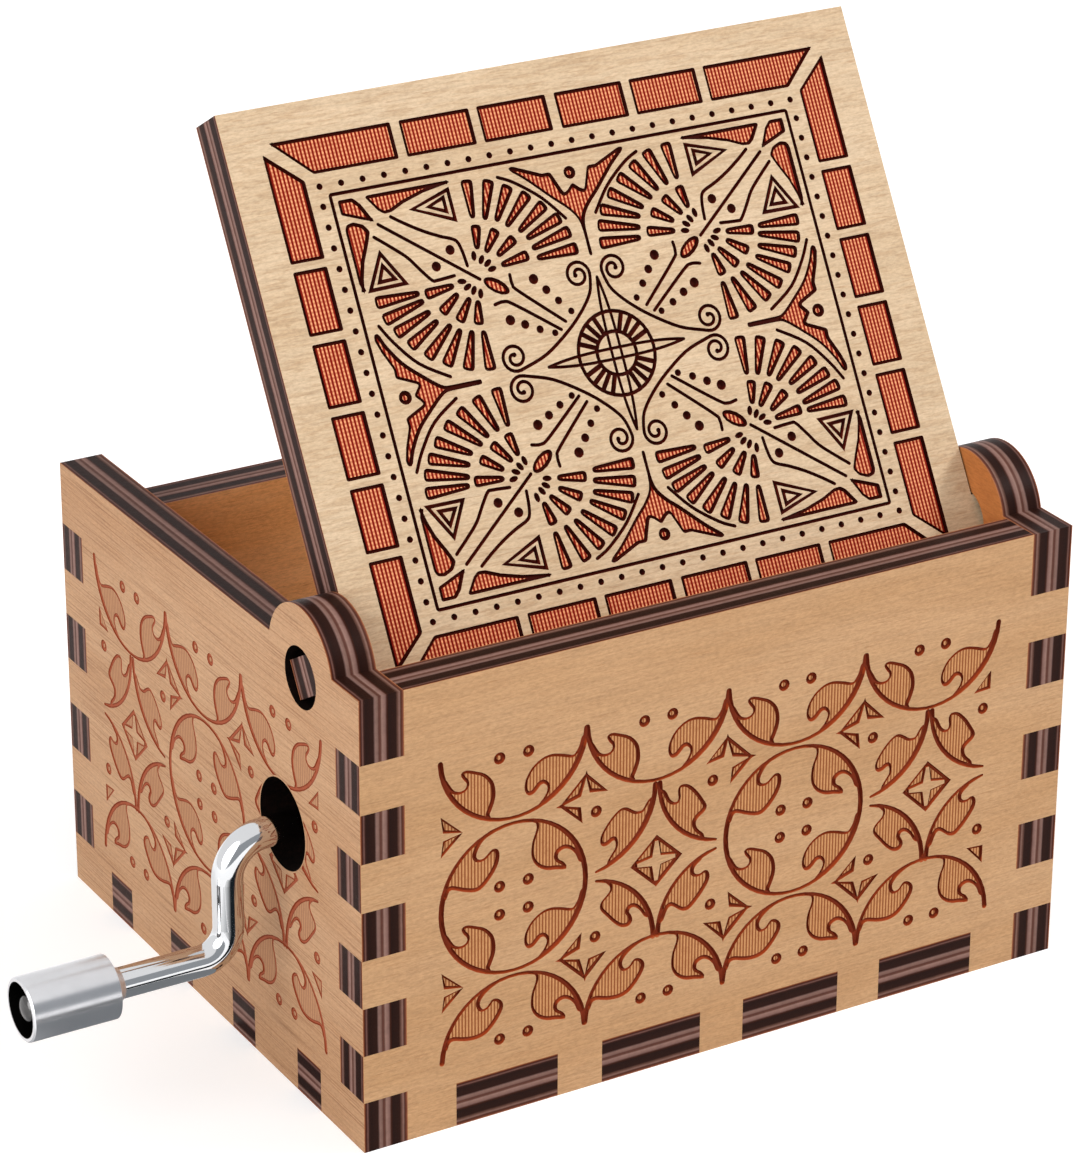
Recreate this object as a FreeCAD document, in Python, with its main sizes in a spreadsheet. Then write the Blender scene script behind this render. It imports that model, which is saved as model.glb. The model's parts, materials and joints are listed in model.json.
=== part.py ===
"""Hand-cranked wooden music box: a finger-jointed plywood case with a hinged lid,
and inside it a pinned drum that a worm on the crank turns past a tuned steel comb.

Frame, in millimetres: the origin is the middle of the case's underside, +X runs along
the long walls away from the crank, -Y is the hinge side, +Z is up.
"""
import FreeCAD, Part
import math
import os
import sys

import Sketcher

Vector = FreeCAD.Vector

doc = FreeCAD.newDocument("music_box")
sheet = doc.addObject("Spreadsheet::Sheet", "dims")

# ---------------------------------------------------------------- driving dimensions

DIMENSIONS = [
    # case
    ("box_length", 64.0, "outside, along X"),
    ("box_width", 51.4, "outside, along Y"),
    ("wall_height", 38.1, "hinge wall and both side walls"),
    ("front_height", 34.25, "lower wall that the shut lid lies over"),
    ("ply", 3.75, "plywood thickness"),
    ("finger_base", 4.33, "height of the lowest finger"),
    ("finger_pitch", 4.065, "height of each finger above it"),
    ("long_tab_width", 9.0, "floor tabs in the long walls"),
    ("long_tab_pitch", 13.0, ""),
    ("short_tab_width", 3.9, "floor tabs in the side walls"),
    ("short_tab_pitch", 11.15, ""),
    # lid and its ears
    ("pivot_inset", 9.15, "hinge wall's outer face to the lid's pivot"),
    ("pivot_height", 36.2, ""),
    ("pivot_hole", 4.98, "diameter"),
    ("ear_radius", 5.1, ""),
    ("ear_height", 36.9, "centre of the ear's round"),
    ("lid_gap", 0.15, "between the lid and each side wall"),
    ("lid_reach", 42.25, "pivot to the lid's free edge"),
    ("lid_heel", 4.8, "pivot to the lid's hinge edge"),
    ("lid_pin_width", 3.1, "square pivot pin, across the lid's face"),
    ("lid_pin_recess", 0.4, "pin end below the side wall's outer face"),
    ("lid_angle", 59.5, "opening at rest, degrees"),
    # crank
    ("crank_inset", 12.6, "hinge wall's outer face to the crank's axis"),
    ("crank_height", 22.15, ""),
    ("crank_hole", 7.45, "diameter"),
    ("crank_hole_height", 22.45, ""),
    ("wire", 2.46, "crank wire's diameter"),
    ("arm_standoff", 4.8, "side wall to the arm's axis"),
    ("throw", 9.6, "crank axis to the grip's axis"),
    ("shoulder_bend", 3.2, "bend at the top of the arm, on the wire's axis"),
    ("grip_bend", 2.5, "bend at the bottom of the arm"),
    ("socket_start", -23.5, "mouth of the spindle's socket"),
    ("socket_end", -18.0, "bottom of the socket"),
    ("knob_standoff", 15.0, "side wall to the knob's near end"),
    ("knob_length", 7.2, ""),
    ("knob", 5.1, "diameter"),
    ("knob_edge", 0.12, "chamfer at its ends"),
    ("knob_mouth", 4.4, "recess in the knob's free end"),
    ("knob_mouth_depth", 2.3, ""),
    ("knob_play", 0.05, "radial clearance on the wire"),
    ("knob_end_play", 0.12, "gap at each end of the knob"),
    ("wire_head", 1.75, "radius of the peened end that holds the knob"),
    ("wire_head_height", 0.8, ""),
    ("swage", 1.7, "radius of the collar pressed up behind the knob"),
    ("swage_length", 0.8, ""),
    # gearing
    ("worm_pitch", 1.822, "one start"),
    ("worm_radius", 2.2, "pitch radius"),
    ("worm_turns", 2.5, ""),
    ("worm_addendum", 0.55, ""),
    ("worm_dedendum", 0.68, ""),
    ("worm_tooth", 0.72, "thread's thickness at the pitch radius"),
    ("wheel_radius", 5.8, "pitch radius"),
    ("wheel_teeth", 20, ""),
    ("wheel_width", 2.8, ""),
    ("wheel_addendum", 0.5, ""),
    ("wheel_dedendum", 0.72, ""),
    ("wheel_tooth", 0.76, "tooth's thickness at the pitch radius"),
    ("wheel_hub", 3.2, "radius of the hub between the teeth and the drum"),
    ("buried", 0.15, "how far threads and teeth reach below their roots"),
    ("flank", 20.0, "flank angle, degrees"),
    ("mesh_distance", 8.0, "worm axis to drum axis"),
    ("journal", 4.0, "spindle's diameter in the outer bearing"),
    ("collar", 5.0, "diameter of its collar inside that bearing"),
    ("collar_width", 0.9, ""),
    ("tail", 2.0, "spindle's diameter in the inner bearing"),
    ("tail_end", 1.4, "tail beyond the inner bearing"),
    ("shoulder_gap", 0.1, "between a shoulder and its bearing"),
    ("clip", 3.8, "snap ring's diameter"),
    ("clip_thickness", 0.5, ""),
    ("clip_mouth", 1.4, "opening of the ring"),
    # drum
    ("drum_x", -10.0, "drum axis"),
    ("drum_start", -10.1, "drum tube's end beside the wheel"),
    ("drum_length", 21.0, ""),
    ("drum", 13.0, "outside diameter"),
    ("drum_wall", 0.8, ""),
    ("plug_depth", 1.5, "end plugs inside the tube"),
    ("press_gap", 0.02, "radial gap of pieces pressed together"),
    ("arbor", 2.0, "diameter"),
    ("arbor_end", 0.6, "arbor beyond each bearing"),
    ("pin_height", 0.45, "above the drum"),
    ("pin_width", 0.36, ""),
    ("pin_root", 0.2, "pressed into the drum"),
    ("notes", 18, "teeth of the comb and tracks of pins"),
    ("track_pitch", 1.1, ""),
    ("first_track", -9.0, "track of the lowest note"),
    # bedplate
    ("bed_left", -23.5, ""),
    ("bed_back", -19.6, ""),
    ("bed_length", 45.0, ""),
    ("bed_width", 34.0, ""),
    ("bed_thickness", 1.8, ""),
    ("bed_corner", 2.5, "corner radius"),
    ("bench_left", 11.5, "raised bench that carries the comb"),
    ("bench_length", 9.4, ""),
    ("bench_margin", 0.6, "bench beyond the comb on each side"),
    ("bench_corner", 0.8, "corner radius"),
    # comb
    ("comb_tip", -2.95, "tips of the teeth, beside the drum"),
    ("comb_right", 20.6, ""),
    ("comb_body", 1.0, "thickness over the bench"),
    ("comb_tooth", 0.5, "thickness of the teeth"),
    ("comb_tooth_width", 0.82, ""),
    ("comb_side", 0.95, "comb beyond its outer teeth's middle lines"),
    ("bass_root", 11.0, "where the longest slot ends"),
    ("treble_root", 5.0, "where the shortest slot ends"),
    ("tooth_overlap", 0.8, "tooth's length inside the comb's body"),
    ("comb_drop", 0.05, "comb's underside below the drum's axis"),
    ("weights", 7, "bass teeth that carry a weight"),
    ("weight_length", 3.0, "on the lowest tooth"),
    ("weight_depth", 1.4, "on the lowest tooth"),
    ("weight_inset", 0.6, "from the tip"),
    ("weight_margin", 0.05, "narrower than the tooth on each side"),
    # bearings
    ("bracket", 1.5, "thickness of the upright plates"),
    ("foot", 1.2, "thickness of their feet"),
    ("bracket_round", 3.2, "radius round each bore"),
    ("running_gap", 0.05, "radial clearance of shafts in their bores"),
    ("drum_foot", 7.0, "half the drum bearings' width at the foot"),
    ("drum_foot_length", 3.0, "foot beyond the plate"),
    ("crank_foot", 3.4, "half the crank bearings' width at the foot"),
    ("crank_foot_length", 3.9, "foot beyond the plate"),
    ("front_bearing_y", -16.3, "outer face of the drum bearing beside the wheel"),
    ("rear_bearing_y", 11.1, "inner face of the other drum bearing"),
    ("outer_bearing_x", -19.2, "face towards the crank wall"),
    ("inner_bearing_x", -2.4, "face towards the worm"),
]

for row, (alias, amount, note) in enumerate(DIMENSIONS, start=1):
    sheet.set(f"A{row}", alias)
    sheet.set(f"B{row}", str(amount))
    sheet.set(f"C{row}", note)
    sheet.setAlias(f"B{row}", alias)
doc.recompute()


def value(expression):
    """Number that an expression on the sheet stands for."""
    return float(sheet.evalExpression(str(expression)))


# places that several pieces share, as expressions on the sheet
PLY = "dims.ply"
HALF_LENGTH = "dims.box_length / 2"
HALF_WIDTH = "dims.box_width / 2"
INNER_X = f"({HALF_LENGTH} - {PLY})"
INNER_Y = f"({HALF_WIDTH} - {PLY})"
PIVOT_Y = f"(dims.pivot_inset - {HALF_WIDTH})"
CRANK_Y = f"(dims.crank_inset - {HALF_WIDTH})"
DRUM_Z = "(dims.crank_height - dims.mesh_distance)"
BED_TOP = f"({PLY} + dims.bed_thickness)"
COMB_Z = f"({DRUM_Z} - dims.comb_drop)"
DRUM_END = "(dims.drum_start + dims.drum_length)"
WIRE_RADIUS = "dims.wire / 2"
KNOB_RADIUS = "dims.knob / 2"

# ---------------------------------------------------------------- building blocks


def new_body(label, base=("0", "0", "0")):
    """A PartDesign body whose place is bound to the sheet."""
    body = doc.addObject("PartDesign::Body", label)
    body.Label = label
    place(body, base)
    return body


def place(thing, base):
    for axis, expression in zip("xyz", base):
        thing.setExpression(f"Placement.Base.{axis}", str(expression))


def turn(thing, axis, angle):
    """Turns an object about an axis through its own origin, by an expression in degrees."""
    thing.Placement = FreeCAD.Placement(thing.Placement.Base, FreeCAD.Rotation(axis, 10.0))
    thing.setExpression("Placement.Rotation.Angle", str(angle))


def new_sketch(body, role="XY_Plane", offset=None, lift=None, spin=None):
    """A sketch on one of the body's own planes, moved off it, lifted in it and spun."""
    sketch = body.newObject("Sketcher::SketchObject", f"{body.Label}_sketch")
    plane = [f for f in body.Origin.OriginFeatures if f.Role == role][0]
    sketch.AttachmentSupport = [(plane, "")]
    sketch.MapMode = "FlatFace"
    if spin is not None:
        turned = FreeCAD.Rotation(Vector(0, 0, 1), 10.0)
        sketch.AttachmentOffset = FreeCAD.Placement(Vector(), turned)
        sketch.setExpression("AttachmentOffset.Rotation.Angle", str(spin))
    if offset is not None:
        sketch.setExpression("AttachmentOffset.Base.z", str(offset))
    if lift is not None:
        sketch.setExpression("AttachmentOffset.Base.y", str(lift))
    return sketch


def fix(sketch, kind, *where, expression):
    """Adds a dimension whose value is an expression on the sheet."""
    index = sketch.addConstraint(Sketcher.Constraint(kind, *where, value(expression)))
    sketch.setExpression(f"Constraints[{index}]", str(expression))


def pin_down(sketch, geometry, point, x, y):
    fix(sketch, "DistanceX", -1, 1, geometry, point, expression=x)
    fix(sketch, "DistanceY", -1, 1, geometry, point, expression=y)


def polygon(sketch, corners):
    """Closed outline; each corner is a pair of expressions."""
    first = sketch.GeometryCount
    points = [Vector(value(x), value(y), 0) for x, y in corners]
    count = len(points)
    for i in range(count):
        sketch.addGeometry(Part.LineSegment(points[i], points[(i + 1) % count]))
    for i, (x, y) in enumerate(corners):
        following = first + (i + 1) % count
        sketch.addConstraint(Sketcher.Constraint("Coincident", first + i, 2, following, 1))
        pin_down(sketch, first + i, 1, x, y)


def rectangle(sketch, left, bottom, width, height):
    right, top = f"({left}) + ({width})", f"({bottom}) + ({height})"
    polygon(sketch, [(left, bottom), (right, bottom), (right, top), (left, top)])


def disc(sketch, x, y, radius):
    first = sketch.GeometryCount
    centre = Vector(value(x), value(y), 0)
    sketch.addGeometry(Part.Circle(centre, Vector(0, 0, 1), value(radius)))
    pin_down(sketch, first, 3, x, y)
    fix(sketch, "Radius", first, expression=radius)


def feature(body, kind, sketch, length=None, **options):
    """A feature of the body, made from a sketch; its length is an expression."""
    made = body.newObject(f"PartDesign::{kind}", f"{body.Label}_{kind.lower()}")
    made.Profile = sketch
    if length is not None:
        made.setExpression("Length", str(length))
    for name, setting in options.items():
        setattr(made, name, setting)
    sketch.Visibility = False
    return made


def pad(body, sketch, length, **options):
    return feature(body, "Pad", sketch, length, **options)


def pocket(body, sketch, length, **options):
    return feature(body, "Pocket", sketch, length, **options)


def pattern(body, original, direction, span, count):
    """Repeats a feature along a line; span is from the first one to the last."""
    made = body.newObject("PartDesign::LinearPattern", f"{body.Label}_row")
    made.Originals = [original]
    made.Direction = direction
    made.setExpression("Length", str(span))
    made.Occurrences = count
    body.Tip = made
    return made


def revolve(body, corners, role="XZ_Plane", axis="V_Axis", lift=None):
    """Solid of revolution from an outline, about an axis of the outline's own sketch."""
    sketch = new_sketch(body, role, lift=lift)
    polygon(sketch, corners)
    made = feature(body, "Revolution", sketch)
    made.ReferenceAxis = (sketch, [axis])
    made.Angle = 360
    return made


def primitive(kind, label, base=("0", "0", "0"), **sizes):
    """A Part primitive with its sizes and place bound to the sheet."""
    made = doc.addObject(f"Part::{kind}", label)
    for name, expression in sizes.items():
        made.setExpression(name, str(expression))
    place(made, base)
    return made


SUBPARTS = []


def keep(thing):
    SUBPARTS.append(thing)
    return thing


def group(label, members):
    """Several equal or like solids in one node."""
    made = doc.addObject("Part::Compound", label)
    made.Label = label
    made.Links = members
    return keep(made)


# ---------------------------------------------------------------- case

FINGERS_PER_CORNER = 4
TABS_PER_WALL = 4


def centred_row_start(pitch, width):
    """First tab's near edge, for a row of tabs that is centred on the wall."""
    return f"-({pitch} * {(TABS_PER_WALL - 1) / 2} + {width} / 2)"


def long_wall(label, height, base_y):
    """Wall along X: its ends carry fingers, and its foot has slots for the floor's tabs."""
    body = new_body(label, ("0", base_y, "0"))
    panel = new_sketch(body, "XZ_Plane")
    rectangle(panel, f"-{INNER_X}", "0", f"2 * {INNER_X}", height)
    pad(body, panel, PLY)
    fingers = new_sketch(body, "XZ_Plane")
    for left in (f"-({HALF_LENGTH})", INNER_X):
        rectangle(fingers, left, "dims.finger_base", PLY, "dims.finger_pitch")
    row = pad(body, fingers, PLY)
    span = f"{2 * (FINGERS_PER_CORNER - 1)} * dims.finger_pitch"
    pattern(body, row, (fingers, ["V_Axis"]), span, FINGERS_PER_CORNER)
    slot = new_sketch(body, "XZ_Plane")
    start = centred_row_start("dims.long_tab_pitch", "dims.long_tab_width")
    rectangle(slot, start, "0", "dims.long_tab_width", PLY)
    cut = pocket(body, slot, PLY, Reversed=True)
    span = f"{TABS_PER_WALL - 1} * dims.long_tab_pitch"
    pattern(body, cut, (slot, ["H_Axis"]), span, TABS_PER_WALL)
    return keep(body)


def side_wall(label, base_x, holes):
    """Wall along Y, with notches for the long walls' fingers and an ear for the lid."""
    body = new_body(label, (base_x, "0", "0"))
    panel = new_sketch(body, "YZ_Plane")
    rectangle(panel, f"-({HALF_WIDTH})", "0", "dims.box_width", "dims.wall_height")
    pad(body, panel, PLY)
    ear = new_sketch(body, "YZ_Plane")
    disc(ear, PIVOT_Y, "dims.ear_height", "dims.ear_radius")
    pad(body, ear, PLY)
    notches = new_sketch(body, "YZ_Plane")
    for left in (f"-({HALF_WIDTH})", INNER_Y):
        rectangle(notches, left, "dims.finger_base", PLY, "dims.finger_pitch")
    cut = pocket(body, notches, PLY, Reversed=True)
    span = f"{2 * (FINGERS_PER_CORNER - 1)} * dims.finger_pitch"
    pattern(body, cut, (notches, ["V_Axis"]), span, FINGERS_PER_CORNER)
    slot = new_sketch(body, "YZ_Plane")
    start = centred_row_start("dims.short_tab_pitch", "dims.short_tab_width")
    rectangle(slot, start, "0", "dims.short_tab_width", PLY)
    cut = pocket(body, slot, PLY, Reversed=True)
    span = f"{TABS_PER_WALL - 1} * dims.short_tab_pitch"
    pattern(body, cut, (slot, ["H_Axis"]), span, TABS_PER_WALL)
    bores = new_sketch(body, "YZ_Plane")
    for y, z, diameter in holes:
        disc(bores, y, z, f"{diameter} / 2")
    pocket(body, bores, PLY, Reversed=True)
    return keep(body)


def floor_board():
    """Floor, flush with the walls' feet, with tabs on all four sides."""
    body = new_body("floor_board")
    board = new_sketch(body)
    rectangle(board, f"-{INNER_X}", f"-{INNER_Y}", f"2 * {INNER_X}", f"2 * {INNER_Y}")
    pad(body, board, PLY)
    rows = (
        ("dims.long_tab_pitch", "dims.long_tab_width", "H_Axis"),
        ("dims.short_tab_pitch", "dims.short_tab_width", "V_Axis"),
    )
    for pitch, width, axis in rows:
        tabs = new_sketch(body)
        start = centred_row_start(pitch, width)
        if axis == "H_Axis":
            for near in (f"-({HALF_WIDTH})", INNER_Y):
                rectangle(tabs, start, near, width, PLY)
        else:
            for near in (f"-({HALF_LENGTH})", INNER_X):
                rectangle(tabs, near, start, PLY, width)
        row = pad(body, tabs, PLY)
        pattern(body, row, (tabs, [axis]), f"{TABS_PER_WALL - 1} * {pitch}", TABS_PER_WALL)
    return keep(body)


def lid():
    """Lid plate with a square pin at each side, built shut about its pivot and then opened."""
    body = new_body("lid", ("0", PIVOT_Y, "dims.pivot_height"))
    turn(body, Vector(1, 0, 0), "dims.lid_angle")
    half = f"({INNER_X} - dims.lid_gap)"
    pin_end = f"({HALF_LENGTH} - dims.lid_pin_recess)"
    plate = new_sketch(body)
    rectangle(plate, f"-{half}", "-dims.lid_heel", f"2 * {half}", "dims.lid_heel + dims.lid_reach")
    pad(body, plate, PLY, SideType="Symmetric")
    pins = new_sketch(body)
    rectangle(pins, f"-{pin_end}", "-dims.lid_pin_width / 2", f"2 * {pin_end}", "dims.lid_pin_width")
    pad(body, pins, PLY, SideType="Symmetric")
    return keep(body)


PIVOT_HOLE = (PIVOT_Y, "dims.pivot_height", "dims.pivot_hole")
CRANK_HOLE = (CRANK_Y, "dims.crank_hole_height", "dims.crank_hole")

long_wall("hinge_wall", "dims.wall_height", f"-{INNER_Y}")
long_wall("front_wall", "dims.front_height", HALF_WIDTH)
side_wall("crank_wall", f"-({HALF_LENGTH})", (PIVOT_HOLE, CRANK_HOLE))
side_wall("end_wall", INNER_X, (PIVOT_HOLE,))
floor_board()
lid()

# ---------------------------------------------------------------- crank

ARM_X = f"(-({HALF_LENGTH}) - dims.arm_standoff)"
KNOB_NEAR = f"(-({HALF_LENGTH}) - dims.knob_standoff)"
KNOB_FAR = f"({KNOB_NEAR} - dims.knob_length)"
KNOB_FLOOR = f"({KNOB_FAR} + dims.knob_mouth_depth)"
WIRE_START = "(dims.socket_end - dims.press_gap)"
WIRE_END = f"({KNOB_FLOOR} - dims.knob_end_play)"


def crank_handle():
    """Bent wire: along -X out of the case, down the arm, and out along -X through the knob."""
    body = new_body("crank_handle", ("0", CRANK_Y, "dims.crank_height"))
    route = new_sketch(body, "XZ_Plane")
    arm, low = value(ARM_X), -value("dims.throw")
    shoulder, grip = value("dims.shoulder_bend"), value("dims.grip_bend")
    start, end = value(WIRE_START), value(WIRE_END)
    up = Vector(0, 0, 1)
    upper = Part.Circle(Vector(arm + shoulder, -shoulder, 0), up, shoulder)
    lower = Part.Circle(Vector(arm - grip, low + grip, 0), up, grip)
    route.addGeometry(Part.LineSegment(Vector(start, 0, 0), Vector(arm + shoulder, 0, 0)))
    route.addGeometry(Part.ArcOfCircle(upper, math.pi / 2, math.pi))
    route.addGeometry(Part.LineSegment(Vector(arm, -shoulder, 0), Vector(arm, low + grip, 0)))
    route.addGeometry(Part.ArcOfCircle(lower, -math.pi / 2, 0))
    route.addGeometry(Part.LineSegment(Vector(arm - grip, low, 0), Vector(end, low, 0)))
    run_in, bend_in, down, bend_out, run_out = range(5)
    for one, end_of_one, other, end_of_other in (
        (run_in, 2, bend_in, 1),
        (bend_in, 2, down, 1),
        (down, 2, bend_out, 2),
        (bend_out, 1, run_out, 1),
    ):
        route.addConstraint(Sketcher.Constraint("Tangent", one, end_of_one, other, end_of_other))
    pin_down(route, run_in, 1, WIRE_START, "0")
    route.addConstraint(Sketcher.Constraint("Horizontal", run_in))
    route.addConstraint(Sketcher.Constraint("Vertical", down))
    fix(route, "DistanceX", -1, 1, down, 1, expression=ARM_X)
    fix(route, "Radius", bend_in, expression="dims.shoulder_bend")
    fix(route, "Radius", bend_out, expression="dims.grip_bend")
    pin_down(route, run_out, 2, WIRE_END, "-dims.throw")
    section = new_sketch(body, "YZ_Plane", offset=WIRE_START)
    disc(section, "0", "0", WIRE_RADIUS)
    bar = feature(body, "AdditivePipe", section)
    bar.Spine = route
    head = [
        (WIRE_END, "0"),
        (WIRE_END, "dims.wire_head"),
        (f"{WIRE_END} - dims.wire_head_height / 2", "dims.wire_head"),
        (f"{WIRE_END} - dims.wire_head_height", "dims.wire_head / 2"),
        (f"{WIRE_END} - dims.wire_head_height", "0"),
    ]
    revolve(body, head, axis="H_Axis", lift="-dims.throw")
    foot = f"({KNOB_NEAR} + dims.knob_end_play)"
    swage = [
        (foot, "0"),
        (foot, "dims.swage"),
        (f"{foot} + dims.swage_length", WIRE_RADIUS),
        (f"{foot} + dims.swage_length", "0"),
    ]
    revolve(body, swage, axis="H_Axis", lift="-dims.throw")
    return keep(body)


def crank_knob():
    """Turned sleeve that spins on the grip, open at its free end over the wire's head."""
    body = new_body("crank_knob", ("0", CRANK_Y, "dims.crank_height - dims.throw"))
    bore = f"({WIRE_RADIUS} + dims.knob_play)"
    rim = f"({KNOB_RADIUS} - dims.knob_edge)"
    outline = [
        (KNOB_NEAR, bore),
        (KNOB_NEAR, KNOB_RADIUS),
        (f"{KNOB_FAR} + dims.knob_edge", KNOB_RADIUS),
        (KNOB_FAR, rim),
        (KNOB_FAR, "dims.knob_mouth / 2"),
        (KNOB_FLOOR, "dims.knob_mouth / 2"),
        (KNOB_FLOOR, bore),
    ]
    revolve(body, outline, axis="H_Axis")
    return keep(body)


crank_handle()
crank_knob()

# ---------------------------------------------------------------- gearing

OUTER_FAR = "(dims.outer_bearing_x + dims.bracket)"
INNER_FAR = "(dims.inner_bearing_x + dims.bracket)"


def worm_spindle():
    """Steel spindle: a socket for the crank wire, a one-start worm over the wheel, a thin tail.

    The body's own Z axis is the spindle's, and its origin is over the drum's axis.
    """
    body = new_body("worm_spindle", ("dims.drum_x", CRANK_Y, "dims.crank_height"))
    turn(body, Vector(0, 1, 0), "90")
    core = "(dims.worm_radius - dims.worm_dedendum)"
    start = "(dims.socket_start - dims.drum_x)"
    socket_end = "(dims.socket_end - dims.drum_x)"
    collar_near = f"({OUTER_FAR} + dims.shoulder_gap - dims.drum_x)"
    collar_far = f"({collar_near} + dims.collar_width)"
    tail_near = "(dims.inner_bearing_x - dims.shoulder_gap - dims.drum_x)"
    tail_far = f"({INNER_FAR} + dims.tail_end - dims.drum_x)"
    bore = f"({WIRE_RADIUS} + dims.press_gap)"
    outline = [
        (bore, start),
        ("dims.journal / 2", start),
        ("dims.journal / 2", collar_near),
        ("dims.collar / 2", collar_near),
        ("dims.collar / 2", collar_far),
        (core, collar_far),
        (core, tail_near),
        ("dims.tail / 2", tail_near),
        ("dims.tail / 2", tail_far),
        ("0", tail_far),
        ("0", socket_end),
        (bore, socket_end),
    ]
    revolve(body, outline)
    thread = new_sketch(body, "XZ_Plane")
    slope = "tan(dims.flank)"
    root_depth = "(dims.worm_dedendum + dims.buried)"
    wide = f"(dims.worm_tooth / 2 + {root_depth} * {slope})"
    thin = f"(dims.worm_tooth / 2 - dims.worm_addendum * {slope})"
    middle = "(-dims.worm_pitch * dims.worm_turns / 2)"
    corners = [
        (f"dims.worm_radius - {root_depth}", f"{middle} - {wide}"),
        ("dims.worm_radius + dims.worm_addendum", f"{middle} - {thin}"),
        ("dims.worm_radius + dims.worm_addendum", f"{middle} + {thin}"),
        (f"dims.worm_radius - {root_depth}", f"{middle} + {wide}"),
    ]
    polygon(thread, corners)
    worm = feature(body, "AdditiveHelix", thread)
    worm.ReferenceAxis = (thread, ["V_Axis"])
    worm.Mode = "pitch-turns-angle"
    worm.setExpression("Pitch", "dims.worm_pitch")
    worm.setExpression("Turns", "dims.worm_turns")
    return keep(body)


def worm_wheel():
    """Toothed wheel on the drum's end, its teeth slanted to follow the worm's thread.

    The body's own Z axis is the drum's, and its origin is under the worm's axis.
    """
    body = new_body("worm_wheel", ("dims.drum_x", CRANK_Y, DRUM_Z))
    turn(body, Vector(1, 0, 0), "-90")
    root = "(dims.wheel_radius - dims.wheel_dedendum)"
    tip = "(dims.wheel_radius + dims.wheel_addendum)"
    half = "(dims.wheel_width / 2)"
    hub_end = f"(dims.drum_start - {CRANK_Y})"
    plug = "(dims.drum / 2 - dims.drum_wall)"
    bore = "(dims.arbor / 2)"
    outline = [
        (bore, f"-{half}"),
        (root, f"-{half}"),
        (root, half),
        ("dims.wheel_hub", half),
        ("dims.wheel_hub", hub_end),
        (plug, hub_end),
        (plug, f"{hub_end} + dims.plug_depth"),
        (bore, f"{hub_end} + dims.plug_depth"),
    ]
    revolve(body, outline)
    slope = "tan(dims.flank)"
    root_depth = "(dims.wheel_dedendum + dims.buried)"
    wide = f"(dims.wheel_tooth / 2 + {root_depth} * {slope})"
    thin = f"(dims.wheel_tooth / 2 - dims.wheel_addendum * {slope})"
    lead = "(dims.worm_pitch / (2 * pi * dims.worm_radius))"
    twist = f"({lead} * {half} / dims.wheel_radius * 180 / pi)"
    in_mesh = "((1 - dims.worm_turns) * 180 / dims.wheel_teeth)"
    sections = []
    for side in (-1, 1):
        spin = f"{in_mesh} + {side} * {twist}"
        section = new_sketch(body, offset=f"{side} * {half}", spin=spin)
        corners = [
            (f"dims.wheel_radius - {root_depth}", f"-{wide}"),
            (tip, f"-{thin}"),
            (tip, thin),
            (f"dims.wheel_radius - {root_depth}", wide),
        ]
        polygon(section, corners)
        sections.append(section)
    tooth = feature(body, "AdditiveLoft", sections[0])
    tooth.Sections = [sections[1]]
    tooth.Ruled = True
    teeth = body.newObject("PartDesign::PolarPattern", "worm_wheel_teeth")
    teeth.Originals = [tooth]
    teeth.Axis = (sections[0], ["N_Axis"])
    teeth.Angle = 360
    teeth.Occurrences = int(value("dims.wheel_teeth"))
    body.Tip = teeth
    return keep(body)


worm_spindle()
worm_wheel()

# ---------------------------------------------------------------- drum

BORE_FIT = "(dims.arbor / 2 + dims.press_gap)"
TUBE_BORE = "(dims.drum / 2 - dims.drum_wall)"


def drum_axis_body(label, along="0"):
    """A body whose own Z axis is the drum's, pointing along +Y."""
    body = new_body(label, ("dims.drum_x", along, DRUM_Z))
    turn(body, Vector(1, 0, 0), "-90")
    return body


def drum_tube():
    body = drum_axis_body("drum_tube", "dims.drum_start")
    outer = "(dims.drum / 2)"
    outline = [
        (TUBE_BORE, "0"),
        (outer, "0"),
        (outer, "dims.drum_length"),
        (TUBE_BORE, "dims.drum_length"),
    ]
    revolve(body, outline)
    return keep(body)


def drum_end_cap():
    """Plug in the tube's far end, bored for the arbor."""
    body = drum_axis_body("drum_end_cap", DRUM_END)
    plug = f"({TUBE_BORE} - dims.press_gap)"
    outline = [
        (BORE_FIT, "-dims.plug_depth"),
        (plug, "-dims.plug_depth"),
        (plug, "0"),
        (BORE_FIT, "0"),
    ]
    revolve(body, outline)
    return keep(body)


def drum_arbor():
    """Plain steel arbor that runs in both drum bearings."""
    body = drum_axis_body("drum_arbor")
    front = "(dims.front_bearing_y - dims.arbor_end)"
    rear = "(dims.rear_bearing_y + dims.bracket + dims.arbor_end)"
    rod = new_sketch(body, offset=front)
    disc(rod, "0", "0", "dims.arbor / 2")
    pad(body, rod, f"{rear} - {front}")
    return keep(body)


PIN_STEPS = 48
REST_STEPS = 4


def tune():
    """(step round the drum, note) of each pin: an arpeggio over a walking bass."""
    for step in range(PIN_STEPS - REST_STEPS):
        yield step, 7 + (step * 4 + step // 8) % 11
        if step % 2 == 0:
            yield step, (step // 2 * 3) % 7
        if step % 4 == 2:
            yield step, 5 + (step // 4) % 5


def drum_pins():
    """Steel pins in the drum, one track for each tooth of the comb."""
    radius = value("dims.drum / 2") - value("dims.pin_root")
    length = value("dims.pin_root + dims.pin_height")
    width = value("dims.pin_width")
    middle = Vector(value("dims.drum_x"), 0, value(DRUM_Z))
    pins = []
    for step, note in sorted(set(tune())):
        track = value("dims.first_track") + note * value("dims.track_pitch")
        pin = Part.makeBox(length, width, width, Vector(radius, track - width / 2, -width / 2))
        pin.rotate(Vector(), Vector(0, 1, 0), 360 * step / PIN_STEPS)
        pin.translate(middle)
        pins.append(pin)
    made = doc.addObject("Part::Feature", "drum_pins")
    made.Shape = Part.makeCompound(pins)
    return keep(made)


drum_tube()
drum_end_cap()
drum_arbor()
drum_pins()

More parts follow.
